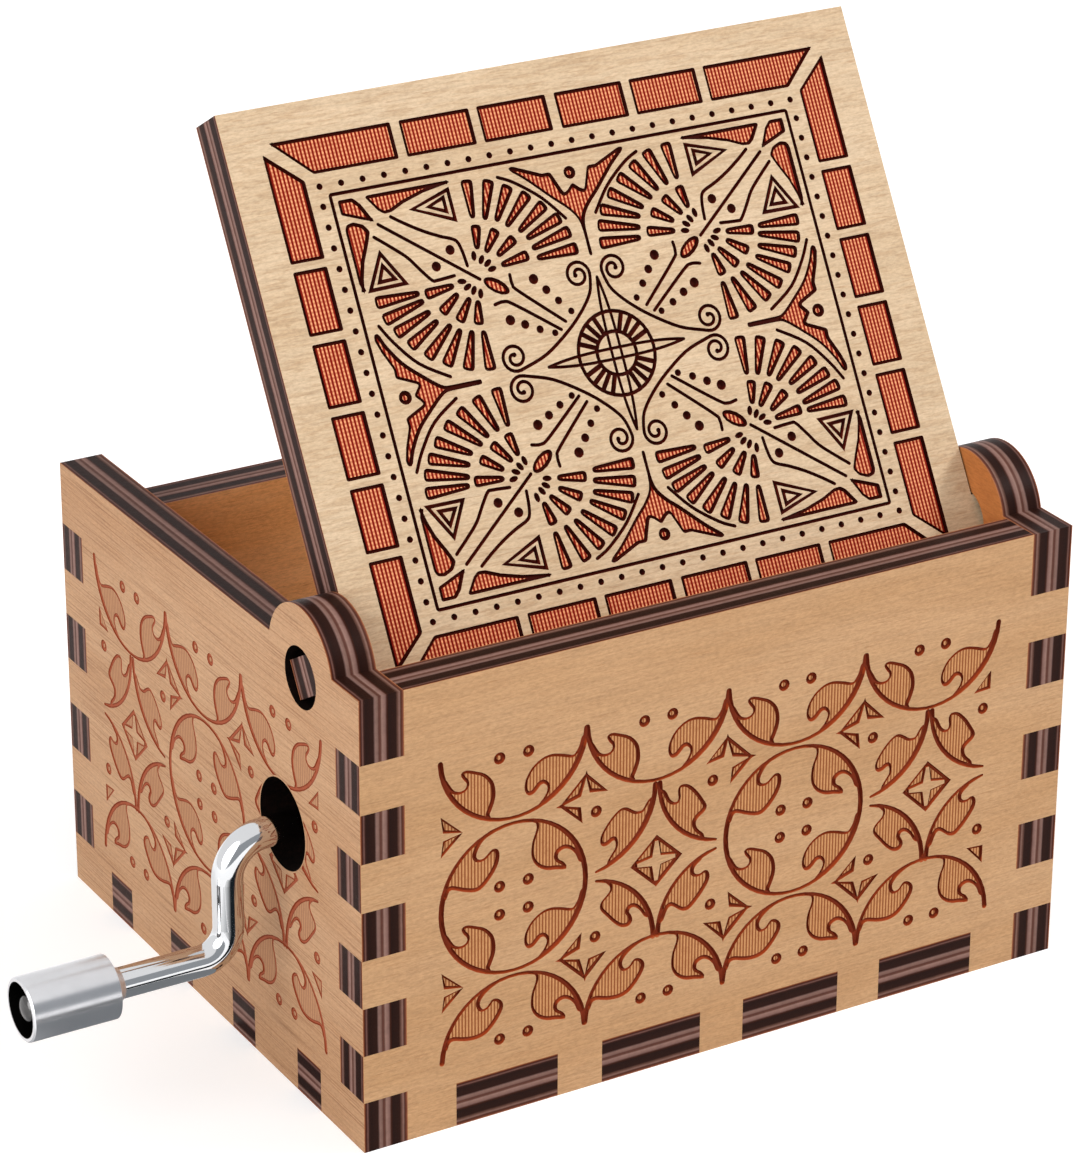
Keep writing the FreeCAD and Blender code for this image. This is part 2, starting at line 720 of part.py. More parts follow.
# ---------------------------------------------------------------- comb and its bedplate

LAST_TRACK = "(dims.first_track + (dims.notes - 1) * dims.track_pitch)"
COMB_FRONT = "(dims.first_track - dims.comb_side)"
COMB_BACK = f"({LAST_TRACK} + dims.comb_side)"


def slot_root(note):
    """Where the slot beside a tooth ends: the bass teeth are the long ones."""
    share = f"({note} / (dims.notes - 1))"
    return f"(dims.bass_root + (dims.treble_root - dims.bass_root) * {share})"


def tuned_comb():
    body = new_body("tuned_comb", ("0", "0", COMB_Z))
    plate = new_sketch(body)
    outline = [
        (slot_root(0), COMB_FRONT),
        ("dims.comb_right", COMB_FRONT),
        ("dims.comb_right", COMB_BACK),
        (slot_root("(dims.notes - 1)"), COMB_BACK),
    ]
    polygon(plate, outline)
    pad(body, plate, "dims.comb_body")
    teeth = new_sketch(body)
    for note in range(int(value("dims.notes"))):
        near = f"dims.first_track + {note} * dims.track_pitch - dims.comb_tooth_width / 2"
        length = f"{slot_root(note)} + dims.tooth_overlap - dims.comb_tip"
        rectangle(teeth, "dims.comb_tip", near, length, "dims.comb_tooth_width")
    pad(body, teeth, "dims.comb_tooth")
    return keep(body)


def bass_weights():
    """Lead weights under the tips of the lowest teeth, smaller towards the treble."""
    blocks = []
    count = int(value("dims.weights"))
    for note in range(count):
        share = f"{(count + 1 - note) / (count + 1)}"
        depth = f"dims.weight_depth * {share}"
        track = f"dims.first_track + {note} * dims.track_pitch"
        width = "(dims.comb_tooth_width - 2 * dims.weight_margin)"
        corner = ("dims.comb_tip + dims.weight_inset", f"{track} - {width} / 2", f"{COMB_Z} - {depth}")
        sizes = {"Length": f"dims.weight_length * {share}", "Width": width, "Height": depth}
        blocks.append(primitive("Box", f"weight_{note}", corner, **sizes))
    return group("bass_weights", blocks)


def vertical_edges(shape):
    """Names of the upright straight edges."""
    names = []
    for index, edge in enumerate(shape.Edges, start=1):
        run = edge.Vertexes[-1].Point - edge.Vertexes[0].Point
        if len(edge.Vertexes) == 2 and abs(run.z) > 0.99 * edge.Length:
            names.append(f"Edge{index}")
    return names


def bedplate():
    """Plated casting: a flat plate with round corners and the bench that carries the comb."""
    body = new_body("bedplate", ("0", "0", PLY))
    base = new_sketch(body)
    rectangle(base, "dims.bed_left", "dims.bed_back", "dims.bed_length", "dims.bed_width")
    slab = pad(body, base, "dims.bed_thickness")
    doc.recompute()
    rounded = body.newObject("PartDesign::Fillet", "bedplate_corners")
    rounded.Base = (slab, vertical_edges(slab.Shape))
    rounded.setExpression("Radius", "dims.bed_corner")
    doc.recompute()
    bench = new_sketch(body)
    front = f"{COMB_FRONT} - dims.bench_margin"
    width = f"{COMB_BACK} - {COMB_FRONT} + 2 * dims.bench_margin"
    rectangle(bench, "dims.bench_left", front, "dims.bench_length", width)
    block = pad(body, bench, f"{COMB_Z} - {PLY}")
    doc.recompute()
    blend = body.newObject("PartDesign::Fillet", "bench_corners")
    corner_x = (value("dims.bench_left"), value("dims.bench_left + dims.bench_length"))
    corners = []
    for name in vertical_edges(block.Shape):
        edge = block.Shape.getElement(name)
        if any(abs(edge.CenterOfMass.x - x) < 0.01 for x in corner_x):
            corners.append(name)
    blend.Base = (block, corners)
    blend.setExpression("Radius", "dims.bench_corner")
    return keep(body)


tuned_comb()
bass_weights()
bedplate()

# ---------------------------------------------------------------- bearings


def bearing(label, base, angle, height, bore, half_foot, foot):
    """Upright plate with a round top about its bore, standing on a flat foot.

    In the body's own frame the plate is at the origin, its thickness along +X, and the
    foot runs along X from foot[0] to foot[1].
    """
    body = new_body(label, base)
    if angle:
        turn(body, Vector(0, 0, 1), angle)
    face = new_sketch(body, "YZ_Plane")
    outline = [
        (f"-{half_foot}", "0"),
        (half_foot, "0"),
        (half_foot, "dims.foot"),
        ("dims.bracket_round", height),
        ("-dims.bracket_round", height),
        (f"-{half_foot}", "dims.foot"),
    ]
    polygon(face, outline)
    pad(body, face, "dims.bracket")
    top = new_sketch(body, "YZ_Plane")
    disc(top, "0", height, "dims.bracket_round")
    pad(body, top, "dims.bracket")
    hole = new_sketch(body, "YZ_Plane")
    disc(hole, "0", height, bore)
    pocket(body, hole, "dims.bracket", Reversed=True)
    sole = new_sketch(body)
    rectangle(sole, foot[0], f"-{half_foot}", f"{foot[1]} - ({foot[0]})", f"2 * {half_foot}")
    pad(body, sole, "dims.foot")
    return keep(body)


def bearings():
    """Two bearings for the drum's arbor and two for the crank's spindle."""
    bore = "(dims.arbor / 2 + dims.running_gap)"
    height = f"({DRUM_Z} - {BED_TOP})"
    foot = ("-dims.drum_foot_length", "dims.bracket")
    for label, y in (
        ("front_drum_bearing", "dims.front_bearing_y"),
        ("rear_drum_bearing", "dims.rear_bearing_y"),
    ):
        bearing(label, ("dims.drum_x", y, BED_TOP), "90", height, bore, "dims.drum_foot", foot)
    height = f"(dims.crank_height - {BED_TOP})"
    before = ("-dims.crank_foot_length", "dims.bracket")
    beyond = ("0", "dims.bracket + dims.crank_foot_length")
    for label, x, shaft, foot in (
        ("outer_crank_bearing", "dims.outer_bearing_x", "dims.journal", before),
        ("inner_crank_bearing", "dims.inner_bearing_x", "dims.tail", beyond),
    ):
        bore = f"({shaft} / 2 + dims.running_gap)"
        bearing(label, (x, CRANK_Y, BED_TOP), None, height, bore, "dims.crank_foot", foot)


def spindle_clip():
    """Snap ring that keeps the spindle in its bearings."""
    near = f"{INNER_FAR} + dims.shoulder_gap"
    body = new_body("spindle_clip", (near, CRANK_Y, "dims.crank_height"))
    ring = new_sketch(body, "YZ_Plane")
    disc(ring, "0", "0", "dims.clip / 2")
    pad(body, ring, "dims.clip_thickness")
    eye = new_sketch(body, "YZ_Plane")
    disc(eye, "0", "0", "dims.tail / 2 + dims.press_gap")
    pocket(body, eye, "dims.clip_thickness", Reversed=True)
    mouth = new_sketch(body, "YZ_Plane")
    rectangle(mouth, "-dims.clip_mouth / 2", "0", "dims.clip_mouth", "dims.clip")
    pocket(body, mouth, "dims.clip_thickness", Reversed=True)
    return keep(body)


bearings()
spindle_clip()

# ---------------------------------------------------------------- checks and export

doc.recompute()
failed = [o.Name for o in doc.Objects if {"Invalid", "Error"} & set(o.State)]
for thing in SUBPARTS:
    if thing.Shape.isNull() or not thing.Shape.isValid():
        failed.append(thing.Label)
if failed:
    print("failed:", failed)
    sys.exit(1)
os.makedirs("parts", exist_ok=True)
for thing in SUBPARTS:
    thing.Shape.exportStep(f"parts/{thing.Label}.step")
    print(f"{thing.Label:22s} {thing.Shape.Volume:9.2f} mm3  {len(thing.Shape.Solids)} solids")
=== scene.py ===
"""Looks of the hand-cranked wooden music box: laser-engraved plywood case and lid, chromed
crank, and the plated movement inside.

Shapes are drawn in millimetres and become metres where a mesh is made. Each panel is drawn
flat, in its own frame (u, v), seen from outside; w is the height above its outer face.
"""

import json
import math

import bmesh
import bpy
import numpy as np
from mathutils import Matrix, Vector
from mathutils.geometry import delaunay_2d_cdt

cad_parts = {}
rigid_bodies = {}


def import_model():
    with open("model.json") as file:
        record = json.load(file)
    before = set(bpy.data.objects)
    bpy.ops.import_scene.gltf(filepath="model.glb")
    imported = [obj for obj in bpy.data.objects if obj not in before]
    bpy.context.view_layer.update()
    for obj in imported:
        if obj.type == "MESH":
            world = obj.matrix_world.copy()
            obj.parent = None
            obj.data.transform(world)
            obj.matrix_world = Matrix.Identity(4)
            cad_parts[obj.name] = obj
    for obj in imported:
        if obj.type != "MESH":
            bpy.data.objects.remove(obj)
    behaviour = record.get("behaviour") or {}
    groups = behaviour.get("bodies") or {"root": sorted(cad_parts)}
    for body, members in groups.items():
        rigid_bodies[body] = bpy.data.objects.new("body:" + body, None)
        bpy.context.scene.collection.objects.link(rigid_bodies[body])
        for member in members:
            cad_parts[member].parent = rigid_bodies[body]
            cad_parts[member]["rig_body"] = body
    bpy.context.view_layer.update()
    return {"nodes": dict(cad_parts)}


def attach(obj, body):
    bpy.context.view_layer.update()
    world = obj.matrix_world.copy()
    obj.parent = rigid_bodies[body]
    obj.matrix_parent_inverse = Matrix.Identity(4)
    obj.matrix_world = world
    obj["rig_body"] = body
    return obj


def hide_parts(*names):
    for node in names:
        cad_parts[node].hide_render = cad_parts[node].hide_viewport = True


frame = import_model()
NODES = frame["nodes"]
MM = 0.001

# ---------------------------------------------------------------- driving dimensions

PLY = 3.75
HALF_LENGTH = 32.0
HALF_WIDTH = 25.7
PIVOT = Vector((0, -16.55, 36.2))
LID_ANGLE = math.radians(59.5)
CRANK_Y, CRANK_Z = -13.1, 22.15
THROW = 9.6
KNOB_FAR, KNOB_FLOOR, KNOB_NEAR = -54.2, -51.9, -47.0
KNOB_MOUTH, KNOB_LIP, COLLAR = 2.25, 0.15, 0.95
COMB_MIDDLE, COMB_TOP, FOOT_TOP = 0.35, 15.1, 6.75

# depths of a line, of a fill and of the hatching in it
DEEP = (0.26, 0.12, 0.03)
SHALLOW = (0.07, 0.04, 0.01)
CLOSE, WELD = 0.001, 0.002
GROOVE_SLOPE = 0.12
LONGEST_MITRE = 2.1
HOLE_MARGIN = 0.12
SHORTEST_HATCH, HATCH_GAP = 0.15, 0.03
OUTLINE = 0.29
ARC_LINE = 0.46
LID_LINE, LID_OUTLINE = 0.28, 0.27
LONG_PITCH, SHORT_PITCH, LID_PITCH = 0.282, 0.3, 0.322

# ---------------------------------------------------------------- flat drawing


def unit(angle):
    return Vector((math.cos(angle), math.sin(angle)))


def arc(centre, radius, start, end, steps):
    """Points on a circle, from one angle in degrees to another."""
    turns = (math.radians(start + (end - start) * i / steps) for i in range(steps + 1))
    return [Vector(centre) + radius * unit(turn) for turn in turns]


def circle(centre, radius, sides):
    """The corners of a regular outline; the first one isn't repeated."""
    return arc(centre, radius, 0, 360 * (1 - 1 / sides), sides - 1)


def smooth(points, spans=4):
    """Catmull-Rom curve through the points."""
    points = [Vector(p) for p in points]
    last = len(points) - 1
    made = []
    for i in range(last):
        a, b, c, d = (points[min(max(i + k, 0), last)] for k in (-1, 0, 1, 2))
        for k in range(spans):
            t = k / spans
            part = 2 * b + (c - a) * t + (2 * a - 5 * b + 4 * c - d) * t * t
            made.append((part + (3 * b - a - 3 * c + d) * t**3) / 2)
    return made + [points[-1]]


def rounded(points, radius):
    """A closed outline with its sharp corners rounded off."""
    points = [Vector(p) for p in points]
    steps, result = 3, []
    for i, corner in enumerate(points):
        before = points[i - 1] - corner
        after = points[(i + 1) % len(points)] - corner
        if before.normalized().dot(after.normalized()) < -0.9:
            result.append(corner)
            continue
        start = corner + before.normalized() * min(radius, before.length * 0.45)
        end = corner + after.normalized() * min(radius, after.length * 0.45)
        for k in range(steps + 1):
            share = k / steps
            result.append((1 - share) ** 2 * start + 2 * share * (1 - share) * corner + share**2 * end)
    return result


def signed_area(points):
    total = 0.0
    for i, p in enumerate(points):
        q = points[(i + 1) % len(points)]
        total += p[0] * q[1] - q[0] * p[1]
    return total / 2


def middle_of(points):
    return sum(points, Vector((0, 0))) / len(points)


class Drawing:
    """What is engraved on a panel: areas of its face, each cut to its own depth."""

    def __init__(self):
        self.points = []
        self.areas = []

    def area(self, kind, points):
        """A closed area; land is left standing where it crosses a fill."""
        first = len(self.points)
        self.points += [Vector(p) for p in points]
        indices = list(range(first, first + len(points)))
        if signed_area(points) < 0:
            indices.reverse()
        self.areas.append((kind, indices))

    def stroke(self, points, width, closed=False, lean=0.0):
        """A groove along the points, with sloping sides and a flat bottom.

        width is one number or one for each point; lean moves the groove to the left of the
        points, by that many half widths.
        """
        points = [Vector(p) for p in points]
        count = len(points)
        widths = [width] * count if isinstance(width, (int, float)) else list(width)
        first = len(self.points)
        for i, p in enumerate(points):
            before = points[i - 1] if closed or i else p
            after = points[(i + 1) % count] if closed or i < count - 1 else p
            ins = (p - before).normalized() if p != before else (after - p).normalized()
            out = (after - p).normalized() if after != p else ins
            along = (ins + out).normalized() if (ins + out).length > 1e-6 else ins
            side = Vector((-along.y, along.x))
            square = Vector((-ins.y, ins.x))
            side *= widths[i] / 2 * min(1 / max(side.dot(square), 0.4), LONGEST_MITRE)
            slope = min(GROOVE_SLOPE / (widths[i] / 2), 0.7)
            for reach in (1, 1 - slope, slope - 1, -1):
                self.points.append(p + side * (lean + reach))
        for i in range(count if closed else count - 1):
            a, b = first + 4 * i, first + 4 * ((i + 1) % count)
            for k in range(3):
                self.areas.append(("line", [a + k + 1, b + k + 1, b + k, a + k]))
        if not closed:
            for end, inner in ((0, 1), (count - 1, count - 2)):
                self.round_end(points[end], points[end] - points[inner], widths[end])

    def round_end(self, centre, outward, width):
        if width > 0.05:
            angle = math.degrees(math.atan2(outward.y, outward.x))
            self.area("line", arc(centre, width / 2, angle - 90, angle + 90, 5))

    def fill(self, points, width):
        """A hatched area with a groove just inside its edge."""
        points = list(points)
        if signed_area(points) < 0:
            points.reverse()
        self.area("fill", points)
        self.stroke(points, width, closed=True, lean=1.0)

    def pit(self, points):
        """A small engraved shape with sloping sides."""
        middle = middle_of(points)
        self.area("line", points)
        self.area("line", [middle + (p - middle) * 0.6 for p in points])

    def dot(self, centre, radius):
        self.pit(circle(centre, radius, 12))

    def dimple(self, centre, radius):
        """A larger dot, less burnt in its middle."""
        self.fill(circle(centre, radius, 14), radius * 0.62)


def move(points, scale=(1, 1), shift=(0, 0)):
    return [Vector((p[0] * scale[0] + shift[0], p[1] * scale[1] + shift[1])) for p in points]


# ---------------------------------------------------------------- panels

FACE, GROOVE, FLOOR, INSIDE, EDGE, BORE = range(6)


class Panel:
    """A flat board of the case: its CAD node, where its outer face lies, and how deep it is cut."""

    def __init__(self, node, origin, u, v, relief=DEEP):
        self.node = node
        self.line_depth, self.fill_depth, self.hatch_relief = relief
        self.origin = Vector(origin)
        self.u = Vector(u)
        self.v = Vector(v)
        self.n = self.u.cross(self.v)

    def flat(self, co):
        """Vertex of the node, in metres, as (u, v, w) in millimetres."""
        offset = co / MM - self.origin
        return offset.dot(self.u), offset.dot(self.v), offset.dot(self.n)

    def solid(self, point, height):
        return (self.origin + self.u * point[0] + self.v * point[1] + self.n * height) * MM


def boundary_loops(bm):
    """The rings of edges round a hole in a mesh, as lists of vertices."""
    ahead = {}
    for edge in bm.edges:
        if edge.is_boundary:
            for a, b in (edge.verts, reversed(edge.verts)):
                ahead.setdefault(a, []).append(b)
    loops, seen = [], set()
    for start in ahead:
        if start in seen:
            continue
        loop, last, at = [], None, start
        while at not in seen:
            seen.add(at)
            loop.append(at)
            step = [v for v in ahead[at] if v is not last and v not in seen]
            last = at
            if step:
                at = step[0]
        loops.append(loop)
    return loops


def kind_of(tags):
    """What a triangle is part of, from the areas that its middle is in."""
    if "sheet" not in tags or "hole" in tags:
        return None
    for tag, kind in (("rim", "face"), ("line", "line"), ("land", "face"), ("fill", "fill")):
        if tag in tags:
            return kind
    return "face"


def hatching(areas, pitch):
    """Upright lines across each fill, half a pitch apart, as pairs of points."""
    lines = []
    step = pitch / 2
    for kind, ring in areas:
        if kind != "fill":
            continue
        low, high = min(p[0] for p in ring), max(p[0] for p in ring)
        for k in range(math.ceil(low / step + 0.02), math.floor(high / step - 0.02) + 1):
            at = k * step
            cuts = []
            for (ax, ay), (bx, by) in zip(ring, ring[1:] + ring[:1]):
                if (ax > at) != (bx > at):
                    cuts.append(ay + (by - ay) * (at - ax) / (bx - ax))
            cuts.sort()
            for start, end in zip(cuts[::2], cuts[1::2]):
                if end - start > SHORTEST_HATCH:
                    lines.append(((at, start + HATCH_GAP), (at, end - HATCH_GAP)))
    return lines


def depth_at(panel, point, kinds, pitch):
    """How deep the engraving is at a corner, from the kinds of the triangles round it."""
    if "face" in kinds:
        return 0.0
    if kinds == {"line"}:
        return panel.line_depth
    if "line" in kinds:
        return panel.fill_depth
    wave = abs((point[0] / pitch) % 1.0 - 0.5) * 4 - 1
    return panel.fill_depth + panel.hatch_relief * wave


def sort_faces(spots, faces, areas):
    """For each triangle, the kinds of the areas that its middle is in."""
    spots = np.array([tuple(p) for p in spots])
    middles = spots[np.array(faces)].mean(axis=1)
    order = np.argsort(middles[:, 0])
    middles = middles[order]
    found = [set() for _ in faces]
    for kind, outline in areas:
        ring = np.array([tuple(p) for p in outline])
        low, high = ring.min(axis=0), ring.max(axis=0)
        first, last = np.searchsorted(middles[:, 0], (low[0], high[0]))
        near = middles[first:last]
        inside = np.zeros(len(near), bool)
        for (ax, ay), (bx, by) in zip(ring, np.roll(ring, 1, axis=0)):
            if ay != by:
                across = (near[:, 1] > ay) != (near[:, 1] > by)
                inside ^= across & (near[:, 0] < (bx - ax) * (near[:, 1] - ay) / (by - ay) + ax)
        for i in np.nonzero(inside)[0]:
            found[order[first + i]].add(kind)
    return found


def is_bore(ring):
    """Whether a ring of points is a round hole."""
    middle = middle_of(ring)
    reaches = [(p - middle).length for p in ring]
    return len(ring) > 8 and max(reaches) - min(reaches) < 0.05


def add_object(name, data):
    """A new object in the scene."""
    made = bpy.data.objects.new(name, data)
    bpy.context.scene.collection.objects.link(made)
    return made


def new_piece(bm, name, materials):
    """A mesh object from a bmesh, which it uses up."""
    bmesh.ops.recalc_face_normals(bm, faces=bm.faces)
    mesh = bpy.data.meshes.new(name)
    bm.to_mesh(mesh)
    bm.free()
    for material in materials:
        mesh.materials.append(material)
    return add_object(name, mesh)


def open_board(panel):
    """The panel's node without its outer face, and the rings of points round the opening."""
    bm = bmesh.new()
    bm.from_mesh(NODES[panel.node].data)
    bmesh.ops.remove_doubles(bm, verts=bm.verts, dist=CLOSE * MM / 10)
    outer = [f for f in bm.faces if all(abs(panel.flat(v.co)[2]) < CLOSE for v in f.verts)]
    bmesh.ops.delete(bm, geom=outer, context="FACES")
    rings = [[Vector(panel.flat(v.co)[:2]) for v in loop] for loop in boundary_loops(bm)]
    rings.sort(key=lambda ring: abs(signed_area(ring)), reverse=True)
    return bm, rings


def mark_board(bm, panel, holes):
    """Tells the board's inner face, its cut edges and its bores apart."""
    bores = [(middle_of(hole), (hole[0] - middle_of(hole)).length) for hole in holes if is_bore(hole)]
    for face in bm.faces:
        middle = Vector(panel.flat(face.calc_center_median()))
        if abs(face.normal.dot(panel.n)) > 0.99 and middle.z < 0.01 - PLY:
            face.material_index = INSIDE
        elif any((middle.xy - centre).length < radius * 1.02 for centre, radius in bores):
            face.material_index = BORE
        else:
            face.material_index = EDGE


def cut_sheet(drawing, rings, pitch):
    """The outer face in triangles: its points, the triangles and what each is part of."""
    areas = [("sheet", rings[0])]
    for hole in rings[1:]:
        middle = middle_of(hole)
        wider = [middle + (p - middle) * (1 + HOLE_MARGIN / (p - middle).length) for p in hole]
        areas += [("hole", hole), ("rim", wider)]
    drawn = [(kind, [drawing.points[i] for i in indices]) for kind, indices in drawing.areas]
    points, edges = list(drawing.points), []
    for _, indices in drawing.areas:
        edges += [(a, indices[i - 1]) for i, a in enumerate(indices)]
    for _, ring in areas:
        edges += [(len(points) + i, len(points) + (i + 1) % len(ring)) for i in range(len(ring))]
        points += ring
    for start, end in hatching(drawn, pitch):
        edges.append((len(points), len(points) + 1))
        points += [Vector(start), Vector(end)]
    cut = delaunay_2d_cdt(points, edges, [], 0, 1e-4, False)
    spots, faces = cut[0], cut[2]
    return spots, faces, [kind_of(tags) for tags in sort_faces(spots, faces, areas + drawn)]


def engrave(panel, drawing, materials, pitch):
    """The panel's node again, with its outer face cut to the drawing."""
    bm, rings = open_board(panel)
    mark_board(bm, panel, rings[1:])
    spots, faces, kinds = cut_sheet(drawing, rings, pitch)
    around = {}
    for face, kind in zip(faces, kinds):
        for i in face if kind else ():
            around.setdefault(i, set()).add(kind)
    corners = {}
    for i, near in around.items():
        corners[i] = bm.verts.new(panel.solid(spots[i], -depth_at(panel, spots[i], near, pitch)))
    for face, kind in zip(faces, kinds):
        if kind:
            made = bm.faces.new([corners[i] for i in face])
            made.material_index = {"face": FACE, "fill": FLOOR, "line": GROOVE}[kind]
            made.smooth = kind == "line"
    bmesh.ops.remove_doubles(bm, verts=bm.verts, dist=WELD * MM)
    made = new_piece(bm, f"engraved_{panel.node}", materials)
    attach(made, NODES[panel.node]["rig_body"])
    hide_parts(panel.node)
    return made


# ---------------------------------------------------------------- scrolls on the walls

CIRCLE = 6.3
COLUMN = 12.65
ROW_REACH = 13.05
LEAVES = {
    "lower_left": (
        (-6.0, -1.6), (-5.65, -2.25), (-5.25, -2.85), (-4.75, -3.1), (-4.25, -3.05),
        (-3.95, -2.75), (-3.95, -2.35), (-4.25, -1.95), (-4.4, -1.6), (-4.05, -1.5),
        (-3.35, -1.75), (-2.55, -2.15), (-1.95, -2.85), (-1.75, -3.65), (-1.8, -4.35),
        (-2.05, -5.05), (-2.25, -5.55), (-2.05, -5.9),
    ),
    "lower_right": (
        (5.98, -1.1), (5.8, -1.7), (5.55, -2.15), (5.25, -2.45), (4.85, -2.4),
        (4.15, -2.15), (3.25, -1.95), (2.45, -2.1), (1.65, -2.65), (1.15, -3.45),
        (1.05, -4.15), (1.25, -4.6), (1.55, -4.65), (1.85, -4.45), (2.25, -4.05),
        (2.65, -4.0), (3.0, -4.35), (3.0, -4.85), (2.65, -5.45), (2.15, -5.85),
    ),
    "upper_left": (
        (-5.95, 1.45), (-5.75, 1.95), (-5.45, 2.15), (-5.05, 2.05), (-4.25, 1.7),
        (-3.35, 1.45), (-2.75, 1.65), (-2.05, 2.35), (-1.55, 3.15), (-1.4, 3.85),
        (-1.5, 4.3), (-1.8, 4.4), (-2.1, 4.2), (-2.45, 3.9), (-2.85, 3.8),
        (-3.25, 3.95), (-3.4, 4.35), (-3.25, 4.85), (-2.85, 5.45), (-2.25, 5.9),
        (-1.65, 6.15),
    ),
    "upper_right": (
        (1.55, 6.05), (1.95, 5.9), (2.1, 5.55), (2.05, 5.05), (1.75, 4.25),
        (1.65, 3.35), (1.8, 2.65), (2.25, 2.05), (2.95, 1.65), (3.75, 1.5),
        (4.45, 1.35), (4.25, 1.75), (3.85, 2.05), (3.7, 2.4), (3.8, 2.8),
        (4.2, 3.05), (4.65, 3.05), (5.15, 2.75), (5.55, 2.25), (5.8, 1.65),
    ),
}
STANDING_LEFT = (
    (-5.95, 1.5), (-5.72, 2.0), (-5.25, 2.17), (-4.27, 1.89), (-3.3, 1.78), (-2.47, 2.0),
    (-1.77, 2.64), (-1.2, 3.47), (-1.08, 4.03), (-1.35, 4.44), (-1.77, 4.58), (-2.02, 4.35),
    (-2.3, 4.05), (-2.75, 3.96), (-3.05, 4.3), (-3.08, 4.86), (-2.6, 5.47), (-1.9, 5.92),
    (-1.3, 6.15),
)
DIAMOND_DROP = -0.25
# quarter arcs about a diamond: side, height, leaf on it
QUARTERS = (
    (-6.5, 6.65, -80, 0, (
        (5.75, -1.6), (5.3, -2.25), (4.95, -2.35), (4.5, -2.25), (4.0, -1.9), (3.6, -1.7),
        (3.2, -1.75), (2.6, -2.2), (2.0, -2.9), (1.6, -3.6), (1.6, -4.1), (1.85, -4.3),
        (2.2, -4.2), (2.55, -4.0), (2.85, -4.1), (2.95, -4.5), (2.9, -4.9), (2.7, -5.2),
        (2.3, -5.75),
    )),
    (6.5, 6.65, 260, 180, (
        (-5.85, -1.2), (-5.5, -1.9), (-5.2, -2.25), (-4.9, -2.4), (-4.6, -2.35),
        (-4.45, -2.0), (-4.5, -1.5), (-4.45, -1.15), (-4.2, -1.05), (-3.7, -1.2),
        (-3.0, -1.9), (-2.4, -2.8), (-2.15, -3.3), (-2.3, -3.65), (-2.8, -4.0),
        (-3.1, -4.4), (-3.05, -4.9), (-2.8, -5.3), (-2.4, -5.7),
    )),
    (-6.5, -6.55, 80, 0, (
        (2.0, 5.65), (2.4, 5.3), (2.5, 4.9), (2.3, 4.5), (1.8, 4.05), (1.6, 3.7),
        (1.7, 3.3), (2.2, 2.7), (2.9, 1.9), (3.5, 1.45), (4.0, 1.4), (4.25, 1.7),
        (4.15, 2.1), (3.95, 2.45), (4.05, 2.8), (4.4, 2.95), (4.8, 2.8), (5.2, 2.4),
        (5.6, 1.8),
    )),
    (6.5, -6.55, 100, 180, (
        (-2.5, 5.4), (-3.0, 5.0), (-3.2, 4.6), (-3.1, 4.2), (-2.8, 4.0), (-2.4, 4.0),
        (-2.1, 4.15), (-1.85, 4.05), (-1.75, 3.6), (-2.0, 3.0), (-2.7, 2.1), (-3.4, 1.45),
        (-3.8, 1.35), (-4.2, 1.5), (-4.7, 1.9), (-5.1, 2.1), (-5.45, 1.95), (-5.7, 1.5),
        (-5.9, 1.0),
    )),
)
STAR = (
    (1.8, -0.22), (1.8, 0.22), (0.45, 0.45), (0.22, 1.8), (-0.22, 1.8), (-0.45, 0.45),
    (-1.8, 0.22), (-1.8, -0.22), (-0.45, -0.45), (-0.22, -1.8), (0.22, -1.8), (0.45, -0.45),
)
DIAMOND = ((2.35, 0), (0, 2.25), (-2.35, 0), (0, -2.25))
BROKEN_DIAMOND = (
    (1.95, 0.3), (0, 2.3), (-2.35, 0), (-0.3, -1.9), (-0.45, -0.5), (-2.05, 0),
    (-0.45, 0.4), (0, 1.9), (0.3, 0.55),
)
CUSP_ROW = 6.6
RING_DOT = 0.5


